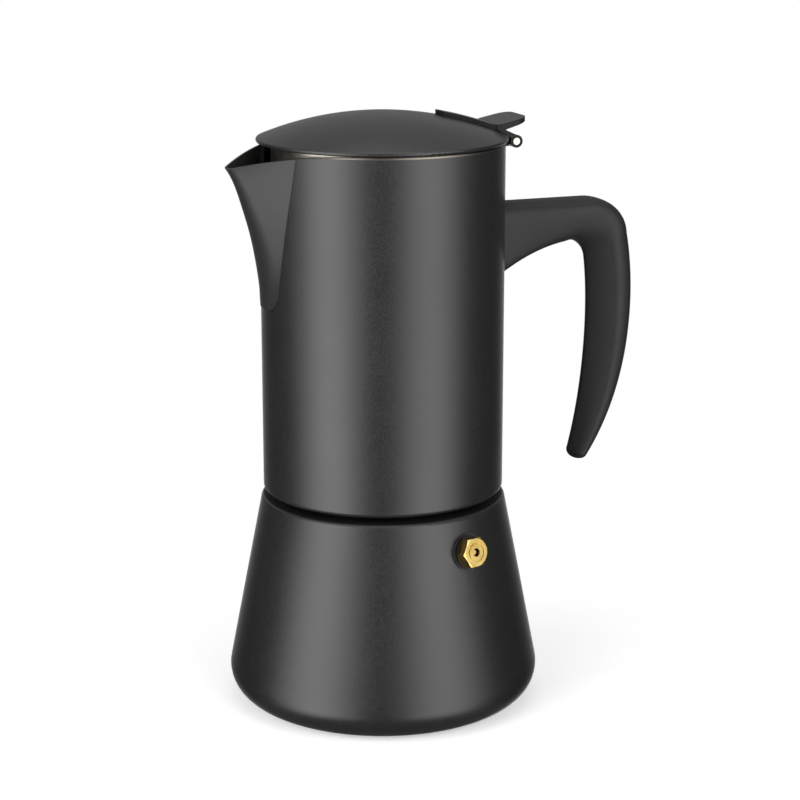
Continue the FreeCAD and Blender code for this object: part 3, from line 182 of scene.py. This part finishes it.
# The valve's axis leaves the boiler's wall here.
VALVE_POINT = Vector((15.0, -41.2, 61.0)) * MM
VALVE_AXIS = Vector((0.33566, -0.92221, 0.19198))
TURNING_PITCH = 0.3 * MM
# The lid's hinge, and the radii beyond which its pin is painted dark, as painted shade for the gap round its
# ends.
HINGE_POINT = Vector((44.4, 0.0, 192.1)) * MM
HINGE_AXIS = Vector((0.0, 1.0, 0.0))
PIN_SHADE_RADII = (1.12 * MM, 1.24 * MM)
PIN_SHADE_TINT = rgba(0.02, 0.02, 0.02)


def coated_steel(name, bare_rim=None):
    """The satin coating, ground off above the height where bare_rim starts."""
    material, graph = new_material(name)
    cloud = graph.noise(scale=45.0, detail=3.0)
    grain = graph.noise(scale=1500.0, roughness=0.6)
    tint = graph.mottle(grain, dark=rgba(0.009, 0.0089, 0.0087), pale=rgba(0.0145, 0.0143, 0.014))
    bare = 0.0
    if bare_rim is not None:
        bare = graph.step(graph.height(), *bare_rim)
        tint = graph.blend(bare, tint, RIM_TINT)
    graph.shade(
        Base_Color=tint,
        Metallic=bare,
        Roughness=graph.math("ADD", graph.spread(cloud, -0.02, 0.02), graph.spread(grain, 0.29, 0.37)),
        Normal=graph.bump(grain, strength=0.25, distance=0.03 * MM),
    )
    return material


def dull_coat(name, grain_size, dark, pale, specular, roughness):
    """A duller coat: for the spout, and in black as painted shade. grain_size gives the scale of its grain,
    and then the detail.
    """
    material, graph = new_material(name)
    grain = graph.noise(*grain_size, roughness=0.6)
    graph.shade(
        Base_Color=graph.mottle(grain, dark, pale),
        Specular_IOR_Level=specular,
        Roughness=graph.spread(grain, *roughness),
        Normal=graph.bump(grain, strength=0.25, distance=0.03 * MM),
    )
    return material


def bare_steel():
    """Brushed steel."""
    material, graph = new_material("bare_steel")
    brushed = graph.marks((6.0, 6.0, 2600.0))
    cloud = graph.noise(scale=60.0, detail=3.0)
    graph.shade(
        Base_Color=graph.mottle(cloud, dark=rgba(0.55, 0.54, 0.52), pale=rgba(0.66, 0.65, 0.635)),
        Metallic=1.0,
        Roughness=graph.math("ADD", graph.spread(cloud, -0.03, 0.03), graph.spread(brushed, 0.22, 0.36)),
        Normal=graph.bump(brushed, strength=0.2, distance=0.02 * MM),
    )
    return material


def thread_steel():
    """Turned steel for the two collars that screw together, darker than bare steel as painted shade, since
    they lie down in the seam.
    """
    material, graph = new_material("thread_steel")
    turned = graph.marks((8.0, 8.0, 3000.0))
    cloud = graph.noise(scale=90.0, detail=4.0, roughness=0.6)
    # The dark end of this tint is painted shade for the seam.
    tint = graph.mottle(cloud, dark=rgba(0.27, 0.262, 0.25), pale=rgba(0.4, 0.392, 0.38))
    graph.shade(
        # Painted shade below the thread, down in the seam.
        Base_Color=graph.blend(graph.step(graph.height(), *SEAM_SHADE_EDGE), SEAM_SHADE_TINT, tint),
        Metallic=1.0,
        Roughness=graph.math("ADD", graph.spread(cloud, -0.04, 0.04), graph.spread(turned, 0.3, 0.42)),
        Normal=graph.bump(turned, strength=0.2, distance=0.02 * MM),
    )
    return material


def plain_steel(name, dark, pale, roughness):
    """Steel without the marks of a brush."""
    material, graph = new_material(name)
    cloud = graph.noise(scale=80.0, detail=3.0)
    graph.shade(
        Base_Color=graph.mottle(cloud, dark, pale),
        Metallic=1.0,
        Roughness=graph.spread(cloud, *roughness),
    )
    return material


def pin_steel():
    """The hinge pin: bright on its ends, with painted shade round their rims and where it turns in the
    knuckles.
    """
    material, graph = new_material("pin_steel")
    cloud = graph.noise(scale=300.0, detail=3.0)
    bright = graph.mottle(cloud, dark=rgba(0.46, 0.42, 0.34), pale=rgba(0.54, 0.5, 0.41))
    # Painted shade round the pin's ends and along it, where it sits in the knuckles.
    rim = graph.step(graph.off_axis(HINGE_POINT, HINGE_AXIS), *PIN_SHADE_RADII)
    graph.shade(
        Base_Color=graph.blend(rim, bright, PIN_SHADE_TINT),
        Metallic=1.0,
        Roughness=graph.spread(cloud, 0.3, 0.4),
    )
    return material


def brass(name, dark, pale):
    """Turned brass, with the fine rings of the turning and a little tarnish."""
    material, graph = new_material(name)
    tarnish = graph.noise(scale=260.0, detail=3.0)
    turns = graph.math("MULTIPLY", graph.off_axis(VALVE_POINT, VALVE_AXIS), math.tau / TURNING_PITCH)
    graph.shade(
        Base_Color=graph.mottle(tarnish, dark, pale),
        Metallic=1.0,
        Roughness=graph.spread(tarnish, 0.24, 0.32),
        Normal=graph.bump(graph.math("SINE", turns), strength=0.12, distance=0.01 * MM),
    )
    return material


def seal_rubber():
    """Pale rubber with a fine skin."""
    material, graph = new_material("seal_rubber")
    cloud = graph.noise(scale=130.0, detail=3.0)
    skin = graph.noise(scale=2400.0)
    graph.shade(
        Base_Color=graph.mottle(cloud, dark=rgba(0.7, 0.68, 0.63), pale=rgba(0.78, 0.765, 0.72)),
        Roughness=graph.spread(cloud, 0.5, 0.62),
        Normal=graph.bump(skin, strength=0.2, distance=0.03 * MM),
    )
    return material


def handle_plastic():
    """Black plastic with the fine grain of its mould."""
    material, graph = new_material("handle_plastic")
    grain = graph.noise(scale=2100.0, detail=3.0, roughness=0.6)
    cloud = graph.noise(scale=70.0)
    graph.shade(
        Base_Color=graph.mottle(grain, dark=rgba(0.0085, 0.0085, 0.009), pale=rgba(0.0135, 0.0135, 0.014)),
        Specular_IOR_Level=0.32,
        Roughness=graph.math("ADD", graph.spread(cloud, -0.02, 0.02), graph.spread(grain, 0.52, 0.6)),
        Normal=graph.bump(grain, strength=0.3, distance=0.04 * MM),
    )
    return material


# Painted shade: a dull black for the cut edges, the lever's sides, the seam under the jug and the hinge
# bracket, darker than the coating where shade falls.
PAINTED_SHADE_BLACK = dull_coat(
    "painted_shade_black",
    grain_size=(1800.0, 3.0),
    dark=rgba(0.006, 0.006, 0.006),
    pale=rgba(0.011, 0.011, 0.011),
    specular=0.2,
    roughness=(0.5, 0.62),
)
# For the pressed spout.
SPOUT_COAT = dull_coat(
    "spout_coat",
    grain_size=(1500.0, 2.0),
    dark=rgba(0.011, 0.0109, 0.0107),
    pale=rgba(0.0165, 0.0163, 0.016),
    specular=0.4,
    roughness=(0.42, 0.5),
)
THREAD_STEEL = thread_steel()
# Painted shade: a darker copy of the valve's brass, for the sides of its hex.
SHADED_BRASS = brass("shaded_brass", dark=rgba(0.3, 0.18, 0.045), pale=rgba(0.42, 0.26, 0.075))
DARK_STEEL = plain_steel(
    "dark_steel", dark=rgba(0.035, 0.034, 0.033), pale=rgba(0.06, 0.059, 0.057), roughness=(0.26, 0.34)
)
SKIRT_STEEL = plain_steel(
    "skirt_steel", dark=rgba(0.42, 0.385, 0.335), pale=rgba(0.52, 0.48, 0.425), roughness=(0.25, 0.31)
)
FINISHES = {
    "coated_steel": coated_steel("coated_steel"),
    "bare_steel": bare_steel(),
    "valve_brass": brass("valve_brass", dark=rgba(0.87, 0.6, 0.17), pale=rgba(0.95, 0.7, 0.25)),
    "seal_rubber": seal_rubber(),
    "handle_plastic": handle_plastic(),
}
SLOT_OF = {row["node"]: row["material_slot"] for row in frame["record"]["subparts"]}


def finish_node(node):
    """Give a node the finish of its slot."""
    piece = cad_nodes[node]
    piece.data.materials.clear()
    piece.data.materials.append(FINISHES[SLOT_OF[node]])


for node_name in cad_nodes:
    finish_node(node_name)


def refinish(node, material):
    """Give a node another finish than its slot's."""
    cad_nodes[node].data.materials[0] = material


def paint_faces(node, material, wanted):
    """Give another finish to those faces of a node for which wanted(centre, normal) holds."""
    mesh = cad_nodes[node].data
    mesh.materials.append(material)
    for face in mesh.polygons:
        if wanted(face.center, face.normal):
            face.material_index = len(mesh.materials) - 1


EDGE_SLOPE = 0.55
CUT_SHARE = 0.8
SEAM_SLOPE = 0.65
SHOULDER_TOP = 72.4 * MM


def is_upright(centre, normal):
    return abs(normal.z) < EDGE_SLOPE


def is_wall_cut(centre, normal):
    """On a cut through the jug's wall: neither along the wall nor on its rim."""
    outward = centre.xy.normalized()
    return is_upright(centre, normal) and abs(normal.xy.dot(outward)) < CUT_SHARE


def is_seam_face(centre, normal):
    return centre.z > SHOULDER_TOP and abs(normal.z) > SEAM_SLOPE


def is_hex_side(centre, normal):
    return abs(normal.dot(VALVE_AXIS)) < EDGE_SLOPE


# Painted shade: the hinge bracket is dull black all over.
refinish("hinge_bracket", PAINTED_SHADE_BLACK)
refinish("hinge_pin", pin_steel())
refinish("valve_washer", DARK_STEEL)
refinish("lid_skirt", SKIRT_STEEL)
refinish("jug_spout", SPOUT_COAT)
refinish("jug_shell", coated_steel("jug_coat", RIM_EDGE))
# Painted shade: the lever's upright sides, the cuts in the jug's wall and the boiler's shoulder down in the
# seam get the dull black.
paint_faces("lid_lever", PAINTED_SHADE_BLACK, is_upright)
paint_faces("jug_shell", PAINTED_SHADE_BLACK, is_wall_cut)
paint_faces("boiler_shell", PAINTED_SHADE_BLACK, is_seam_face)
# Painted shade: the hex's sides get the darker brass.
paint_faces("valve_body", SHADED_BRASS, is_hex_side)

# The thread that joins jug and boiler: one start, right-handed, cut into the collars.
THREAD_PITCH = 3.0 * MM
THREAD_DEPTH = 0.75 * MM
THREAD_FLANK = 0.9
THREAD_RUN_OUT = 1.2 * MM
THREAD_ROW = 0.14 * MM
RING_STEPS = 160
SHARP_TURN = math.radians(38.0)


def share_of_one(value):
    """A value kept between nought and one."""
    return min(1.0, max(0.0, value))


def thread_cut(turn, height, low, high):
    """How deep the thread is cut at a place on the wall, dying away at both ends."""
    phase = height / THREAD_PITCH - turn / math.tau
    crest = share_of_one(0.5 + THREAD_FLANK * math.cos(math.tau * phase))
    fade = share_of_one(min(height - low, high - height) / THREAD_RUN_OUT)
    return THREAD_DEPTH * (1.0 - crest) * fade


def soften(mesh):
    """Smooth shading, apart from the sharp edges. All faces are turned outwards."""
    mesh.shade_smooth()
    shape = bmesh.new()
    shape.from_mesh(mesh)
    bmesh.ops.recalc_face_normals(shape, faces=shape.faces)
    for edge in shape.edges:
        edge.smooth = edge.calc_face_angle(0.0) < SHARP_TURN
    shape.to_mesh(mesh)
    shape.free()


def threaded_ring(name, node, body, before, wall, after, outward):
    """A ring turned from a section with a thread in one wall, which runs up from low to high.

    before and after are the section's corners, as radius and height, on the way to that wall and from it.
    """
    radius, low, high = wall
    rows = round((high - low) / THREAD_ROW)
    heights = [low + (high - low) * row / rows for row in range(rows + 1)]
    if not outward:
        heights.reverse()
    corners = []
    for step in range(RING_STEPS):
        turn = math.tau * step / RING_STEPS
        section = list(before)
        for height in heights:
            cut = thread_cut(turn, height, low, high)
            section.append((radius - cut if outward else radius + cut, height))
        section.extend(after)
        for reach, height in section:
            corners.append((reach * math.cos(turn), reach * math.sin(turn), height))
    count = len(corners) // RING_STEPS
    faces = []
    for step in range(RING_STEPS):
        near = step * count
        far = (step + 1) % RING_STEPS * count
        for place in range(count):
            ahead = (place + 1) % count
            faces.append((near + place, far + place, far + ahead, near + ahead))
    mesh = new_mesh(name, corners, faces)
    soften(mesh)
    mesh.materials.append(THREAD_STEEL)
    ring = new_object(name, mesh)
    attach(ring, body)
    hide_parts(node)


threaded_ring(
    "boiler_thread",
    "boiler_collar",
    "base",
    before=[(30.5 * MM, 71.3 * MM), (32.5 * MM, 71.3 * MM), (32.5 * MM, 72.5 * MM), (34.0 * MM, 72.5 * MM)],
    wall=(34.0 * MM, 74.4 * MM, 82.2 * MM),
    after=[(33.2 * MM, 83.0 * MM), (30.5 * MM, 83.0 * MM)],
    outward=True,
)
threaded_ring(
    "jug_thread",
    "jug_collar",
    "jug",
    before=[(34.3 * MM, 87.45 * MM)],
    wall=(34.3 * MM, 75.2 * MM, 86.6 * MM),
    after=[(34.3 * MM, 74.5 * MM), (36.8 * MM, 74.5 * MM), (36.8 * MM, 87.45 * MM)],
    outward=False,
)


def make_spring():
    """The valve's spring, a copy of the solid's mesh, carried with the base."""
    spring = new_object("valve_coil", cad_nodes["valve_spring"].data.copy())
    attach(spring, "base")
    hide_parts("valve_spring")
    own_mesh(spring)


make_spring()

# The handle, moulded round. Its side view is close to the solid's, and its section is an oval that narrows
# towards the fingers. First the arm: its top, its underside at the bend and at the jug, and where it runs.
ARM_TOP = 170.5 * MM
ARM_FOOT = 156.1 * MM
ARM_ROOT = 143.5 * MM
ARM_START = 38.0 * MM
ARM_RUN = 33.8 * MM
WALL_MIDDLE = 40.5 * MM
# The grip's middle line, which draws in towards the tail and a little at the shoulder.
GRIP_X = 83.8 * MM
GRIP_TOP = 154.3 * MM
GRIP_LENGTH = 77.0 * MM
GRIP_CURVE = 2.88
GRIP_INSET = 12.6 * MM
SHOULDER_CURVE = 6
SHOULDER_INSET = 2.2 * MM
# The grip's depth and half its width, above and at the tail, and the length of the rounded tip.
GRIP_DEPTH = 16.0 * MM
TAIL_DEPTH = 6.0 * MM
GRIP_HALF = 9.3 * MM
TAIL_HALF = 5.5 * MM
TAIL_TIP = 3.0 * MM
# Shares of the grip's length at which the bend ends, on the outside and on the finger side.
OUTER_SHARE = -0.035
FINGER_SHARE = 0.036
# The oval's power, its narrowing towards the fingers, its width amidships and how far the narrowing keeps to
# the finger side, on the arm and on the grip.
ARM_OVAL = (3.3, 0.2, 0.77, 0.0)
GRIP_OVAL = (2.5, 0.74, 0.95, 1.0)
KNEE = 0.015
# The arm's underside is flatter round the screw, up to this share of the way to the grip.
UNDERSIDE_POWER = 6.5
UNDERSIDE_END = 0.5
# The well that the screw's head lies in: its middle, radius and depth.
SCREW_PLACE = Vector((53.0, 0.0, 148.8)) * MM
SCREW_WELL = (3.35 * MM, 13.9 * MM)
WELL_STEPS = 48
ARM_ROWS = 14
BEND_ROWS = 18
GRIP_ROWS = 44
TIP_ROWS = 8
OVAL_STEPS = 56


def between(first, second, share):
    """The first value where share is nought, the second where it is one."""
    return first + (second - first) * share


def drawn_in(share):
    """How far the grip has drawn in towards its tail, at a share of its length."""
    return max(0.0, share) ** GRIP_CURVE


def grip_lean(share):
    """How far the grip's middle line leans from upright, at a share of its length."""
    draw_rate = GRIP_CURVE * max(0.0, share) ** (GRIP_CURVE - 1.0) * GRIP_INSET
    shoulder_rate = SHOULDER_CURVE * (1.0 - share) ** (SHOULDER_CURVE - 1) * SHOULDER_INSET
    return math.atan((draw_rate - shoulder_rate) / GRIP_LENGTH)


def grip_edge(share, side):
    """A place on the grip's outside, where side is 1, or on its finger side, where it is -1."""
    x = GRIP_X - GRIP_INSET * drawn_in(share) - SHOULDER_INSET * (1.0 - share) ** SHOULDER_CURVE
    z = GRIP_TOP - share * GRIP_LENGTH
    lean = grip_lean(share)
    half = between(GRIP_DEPTH, TAIL_DEPTH, drawn_in(share)) / 2
    return Vector((x + side * half * math.cos(lean), 0.0, z - side * half * math.sin(lean)))


def arc_place(end, radius, turn, whole):
    """On an arc that starts level and has turned by the angle whole when it comes to end."""
    run = radius * (math.sin(whole) - math.sin(turn))
    rise = radius * (math.cos(turn) - math.cos(whole))
    return end + Vector((-run, 0.0, rise))


def tip_rows(outer, finger, half):
    """Rows that close the handle's end, from its last row on to half a step short of a point."""
    middle = (outer + finger) / 2
    across = (finger - outer) / 2
    onward = Vector((-across.z, 0.0, across.x)).normalized() * TAIL_TIP
    rows = []
    for row in range(1, TIP_ROWS + 1):
        turn = math.pi / 2 * row / (TIP_ROWS + 0.5)
        centre = middle + onward * math.sin(turn)
        reach = across * math.cos(turn)
        rows.append((centre - reach, centre + reach, half * math.cos(turn)))
    return rows


def handle_rows():
    """Pairs of outer and finger-side places down the handle, each with the section's half width."""
    bend = math.pi / 2 + grip_lean(0.0)
    outer_end = grip_edge(OUTER_SHARE, 1)
    finger_end = grip_edge(FINGER_SHARE, -1)
    finger_round = (ARM_FOOT - finger_end.z) / (1.0 - math.cos(bend))
    outer_round = (ARM_TOP - outer_end.z) / (1.0 - math.cos(bend))
    outer_start = arc_place(outer_end, outer_round, 0.0, bend).x
    finger_start = arc_place(finger_end, finger_round, 0.0, bend).x
    rows = []
    for row in range(ARM_ROWS):
        share = row / ARM_ROWS
        run = share * (finger_start - ARM_START)
        foot = between(ARM_FOOT, ARM_ROOT, (1.0 - run / ARM_RUN) ** 2)
        outer = Vector((between(ARM_START, outer_start, share), 0.0, ARM_TOP))
        rows.append((outer, Vector((ARM_START + run, 0.0, foot)), GRIP_HALF))
    for row in range(BEND_ROWS):
        turn = bend * row / BEND_ROWS
        outer = arc_place(outer_end, outer_round, turn, bend)
        rows.append((outer, arc_place(finger_end, finger_round, turn, bend), GRIP_HALF))
    last = 1.0 - TAIL_TIP / GRIP_LENGTH
    for row in range(GRIP_ROWS + 1):
        share = between(OUTER_SHARE, last, row / GRIP_ROWS)
        finger_share = between(FINGER_SHARE, last, row / GRIP_ROWS)
        half = between(GRIP_HALF, TAIL_HALF, drawn_in(share))
        rows.append((grip_edge(share, 1), grip_edge(finger_share, -1), half))
    return rows + tip_rows(*rows[-1])


def rounded(value, power):
    """A sine or cosine as it runs round an oval of that power."""
    return math.copysign(abs(value) ** (2.0 / power), value)


def handle_mesh():
    """The rows of the handle, each drawn as an oval, joined and closed at both ends."""
    corners = []
    for number, (outer, finger, half) in enumerate(handle_rows()):
        bent = min(1.0, number / (ARM_ROWS + BEND_ROWS))
        oval = [between(arm, grip, bent ** 2) for arm, grip in zip(ARM_OVAL, GRIP_OVAL)]
        outer_power, narrowing, middle, fold = oval
        finger_power = between(outer_power, UNDERSIDE_POWER, max(0.0, 1.0 - bent / UNDERSIDE_END))
        for step in range(OVAL_STEPS):
            turn = math.tau * step / OVAL_STEPS
            power = finger_power if math.cos(turn) > 0.0 else outer_power
            reach = rounded(math.cos(turn), power)
            corner = (outer + finger) / 2 + (finger - outer) / 2 * reach
            folded = (reach + math.sqrt(reach ** 2 + KNEE)) / 2
            width = half * middle * (1.0 - narrowing * between(reach, folded, fold))
            corner.y = width * rounded(math.sin(turn), power)
            if number == 0:
                corner.x = math.sqrt(WALL_MIDDLE ** 2 - corner.y ** 2)
            corners.append(corner)
    first_end = tuple(range(OVAL_STEPS))
    last_end = tuple(range(len(corners) - 1, len(corners) - 1 - OVAL_STEPS, -1))
    faces = [first_end, last_end]
    for near in range(0, len(corners) - OVAL_STEPS, OVAL_STEPS):
        far = near + OVAL_STEPS
        for step in range(OVAL_STEPS):
            ahead = (step + 1) % OVAL_STEPS
            faces.append((near + step, far + step, far + ahead, near + ahead))
    return new_mesh("handle_grip", corners, faces)


def make_handle():
    """The handle, with the well cut for its screw."""
    grip = new_object("handle_grip", handle_mesh())
    radius, depth = SCREW_WELL
    bpy.ops.mesh.primitive_cylinder_add(vertices=WELL_STEPS, radius=radius, depth=depth, location=SCREW_PLACE)
    cutter = bpy.context.object
    cut = grip.modifiers.new("screw_well", "BOOLEAN")
    cut.operation = "DIFFERENCE"
    cut.object = cutter
    cut.solver = "EXACT"
    grip.data = bpy.data.meshes.new_from_object(grip.evaluated_get(bpy.context.evaluated_depsgraph_get()))
    grip.modifiers.clear()
    bpy.data.objects.remove(cutter)
    soften(grip.data)
    grip.data.materials.clear()
    grip.data.materials.append(FINISHES["handle_plastic"])
    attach(grip, "jug")
    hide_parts("handle")


make_handle()

# The camera stands on the valve's side, a little towards the spout, above the lid and well back.
CAMERA_PLACE = Vector((-242.5, -683.5, 286.6)) * MM
CAMERA_TURN = math.radians(-20.0)
CAMERA_DIP = math.radians(14.1)
CAMERA_LENS = 98.514
SENSOR_WIDTH = 36.0
CLIP_START = 0.05
CLIP_END = 50.0


def make_camera():
    data = bpy.data.cameras.new("camera")
    data.sensor_width = SENSOR_WIDTH
    data.lens = CAMERA_LENS
    data.clip_start = CLIP_START
    data.clip_end = CLIP_END
    camera = new_object("camera", data)
    camera.location = CAMERA_PLACE
    camera.rotation_euler = (math.pi / 2 - CAMERA_DIP, 0.0, CAMERA_TURN)
    bpy.context.scene.camera = camera


make_camera()

POT_CENTRE = Vector((0.0, 0.0, 0.1))
BANK_DISTANCE = 1.2
BANK_HEIGHT = 2.2
BANK_STEP = 9.0
BANK_REACH = 4
TOP_PLACE = Vector((0.1, 0.1, 1.5))
TOP_SIZE = 1.1


def around(degrees, distance, height):
    """A place round the pot, counted from the camera's side and rightwards in its picture."""
    turn = CAMERA_TURN + math.radians(degrees)
    return Vector((math.sin(turn) * distance, -math.cos(turn) * distance, height))


def soft_box(name, place, width, height, radiance):
    """A lamp with an oblong face, turned to the pot."""
    data = bpy.data.lights.new(name, "AREA")
    data.shape = "RECTANGLE"
    data.size = width
    data.size_y = height
    data.energy = radiance * width * height * math.pi
    lamp = new_object(name, data)
    lamp.location = place
    lamp.rotation_euler = (POT_CENTRE - place).to_track_quat("-Z", "Y").to_euler()
    lamp.visible_camera = False


def soft_bank(name, degrees, radiance):
    """A wide soft light, brightest in the middle: upright strips that dim towards both sides."""
    width = BANK_DISTANCE * math.radians(BANK_STEP)
    for number in range(-BANK_REACH, BANK_REACH + 1):
        share = 0.5 + 0.5 * math.cos(math.pi * number / (BANK_REACH + 1))
        place = around(degrees + number * BANK_STEP, BANK_DISTANCE, POT_CENTRE.z)
        soft_box(f"{name}_{number + BANK_REACH}", place, width, BANK_HEIGHT, radiance * share)


soft_bank("left_bank", degrees=-49.0, radiance=4.45)
soft_bank("right_bank", degrees=45.0, radiance=3.5)
soft_box("top_box", TOP_PLACE, TOP_SIZE, TOP_SIZE, radiance=0.9)

# The room that gloss shows. It is dark, but grey high all round and behind the pot, and open low behind it,
# where the white paper lies. Angles are counted from the camera's side, so the middle behind is BACK.
WALL_RADIUS = 1.6
WALL_FOOT = -1.2
WALL_SILL = 0.15
WALL_RAIL = 0.75
WALL_HEIGHT = 2.4
WALL_STEPS = 64
BACK = 180.0
BACK_HALF = 40.0
# Beside the gap the paper dims in steps: from one angle off the middle to another, and how bright.
PAPER_FADE = ((20.0, 26.0, 0.36), (26.0, 32.0, 0.29), (32.0, 38.0, 0.17), (38.0, 45.0, 0.07))
PAPER_END = 45.0
PAPER_WANDER = 0.1
# How dim and how bright each kind of cloth is.
GROUND_GLOW = (0.12, 0.15)
DARK_GLOW = (0.012, 0.016)
HIGH_GLOW = (0.3, 0.35)
BACK_GLOW = (0.33, 0.38)
CLOTH_SCALE = 3.0


def room_piece(name, corners, faces, glow):
    """A surface of the room that only gloss shows."""
    wall = new_object(name, new_mesh(name, corners, faces))
    material, graph = new_material(name)
    cloth = graph.add("ShaderNodeEmission", Strength=graph.spread(graph.noise(CLOTH_SCALE), *glow))
    graph.add("ShaderNodeOutputMaterial", Surface=cloth.outputs["Emission"])
    wall.data.materials.append(material)
    wall.visible_camera = False
    wall.visible_diffuse = False
    wall.visible_shadow = False
    wall.visible_transmission = False


def wall_piece(name, low, high, start, end, glow):
    """A stretch of the wall round the set, from one angle to another."""
    corners = []
    for step in range(WALL_STEPS + 1):
        degrees = between(start, end, step / WALL_STEPS)
        for height in (low, high):
            corners.append(around(degrees, WALL_RADIUS, height))
    faces = [(2 * i, 2 * i + 2, 2 * i + 3, 2 * i + 1) for i in range(WALL_STEPS)]
    room_piece(name, corners, faces, glow)


def make_ground():
    """What the underside of the foot mirrors."""
    corners = [around(step * 360.0 / WALL_STEPS, WALL_RADIUS, WALL_FOOT) for step in range(WALL_STEPS)]
    room_piece("ground", corners, [tuple(range(WALL_STEPS))], GROUND_GLOW)


make_ground()
wall_piece("room_wall", WALL_FOOT, WALL_SILL, PAPER_END - BACK, BACK - PAPER_END, DARK_GLOW)
for number, (near, far, level) in enumerate(PAPER_FADE):
    paper_glow = (level * (1.0 - PAPER_WANDER), level * (1.0 + PAPER_WANDER))
    wall_piece(f"paper_left_{number}", WALL_FOOT, WALL_SILL, near - BACK, far - BACK, paper_glow)
    wall_piece(f"paper_right_{number}", WALL_FOOT, WALL_SILL, BACK - far, BACK - near, paper_glow)
wall_piece("upper_wall", WALL_SILL, WALL_RAIL, BACK_HALF - BACK, BACK - BACK_HALF, DARK_GLOW)
wall_piece("high_cloth", WALL_RAIL, WALL_HEIGHT, BACK_HALF - BACK, BACK - BACK_HALF, HIGH_GLOW)
wall_piece("back_cloth", WALL_SILL, WALL_HEIGHT, BACK - BACK_HALF, BACK + BACK_HALF, BACK_GLOW)

FLOOR_SIZE = 3.0
FLOOR_SOLID = 0.06
FLOOR_GONE = 0.18
FLOOR_LIFT = 0.38
FLOOR_GRAIN = 30.0
ROOM_LIGHT = 0.3


def seen_share(graph):
    """One for rays of the camera, of gloss and through glass, nought for the rays that light the pot."""
    path = graph.add("ShaderNodeLightPath")
    share = graph.math("ADD", path.outputs["Is Camera Ray"], path.outputs["Is Glossy Ray"])
    share = graph.math("ADD", share, path.outputs["Is Transmission Ray"])
    return graph.math("MINIMUM", share, 1.0)


def make_floor():
    """A pale floor that keeps the pot's shadow and fades into the white of the backdrop."""
    half = FLOOR_SIZE / 2
    corners = [(-half, -half, 0.0), (half, -half, 0.0), (half, half, 0.0), (-half, half, 0.0)]
    floor = new_object("floor", new_mesh("floor", corners, [(0, 1, 2, 3)]))
    material, graph = new_material("floor")
    tint = graph.mottle(graph.noise(FLOOR_GRAIN), dark=rgba(0.9, 0.9, 0.9), pale=rgba(0.92, 0.92, 0.92))
    paper = graph.add("ShaderNodeBsdfDiffuse", Color=tint)
    glow = graph.add("ShaderNodeEmission", Strength=graph.math("MULTIPLY", seen_share(graph), FLOOR_LIFT))
    lit = graph.add("ShaderNodeAddShader")
    graph.put(lit.inputs[0], paper.outputs["BSDF"])
    graph.put(lit.inputs[1], glow.outputs["Emission"])
    clear = graph.add("ShaderNodeBsdfTransparent")
    fade = graph.step(graph.length(graph.place()), FLOOR_SOLID, FLOOR_GONE)
    mix = graph.add("ShaderNodeMixShader", Fac=fade)
    graph.put(mix.inputs[1], lit.outputs["Shader"])
    graph.put(mix.inputs[2], clear.outputs["BSDF"])
    graph.add("ShaderNodeOutputMaterial", Surface=mix.outputs["Shader"])
    floor.data.materials.append(material)
    floor.visible_glossy = False


def make_world():
    """A white backdrop that lights the pot only a little."""
    world = bpy.data.worlds.new("studio")
    bpy.context.scene.world = world
    world.use_nodes = True
    graph = Graph(world.node_tree)
    strength = graph.math("ADD", ROOM_LIGHT, graph.math("MULTIPLY", seen_share(graph), 1.0 - ROOM_LIGHT))
    back = graph.add("ShaderNodeBackground", Color=rgba(1.0, 1.0, 1.0), Strength=strength)
    graph.add("ShaderNodeOutputWorld", Surface=back.outputs["Background"])


make_floor()
make_world()
bpy.context.scene.view_settings.view_transform = "Standard"
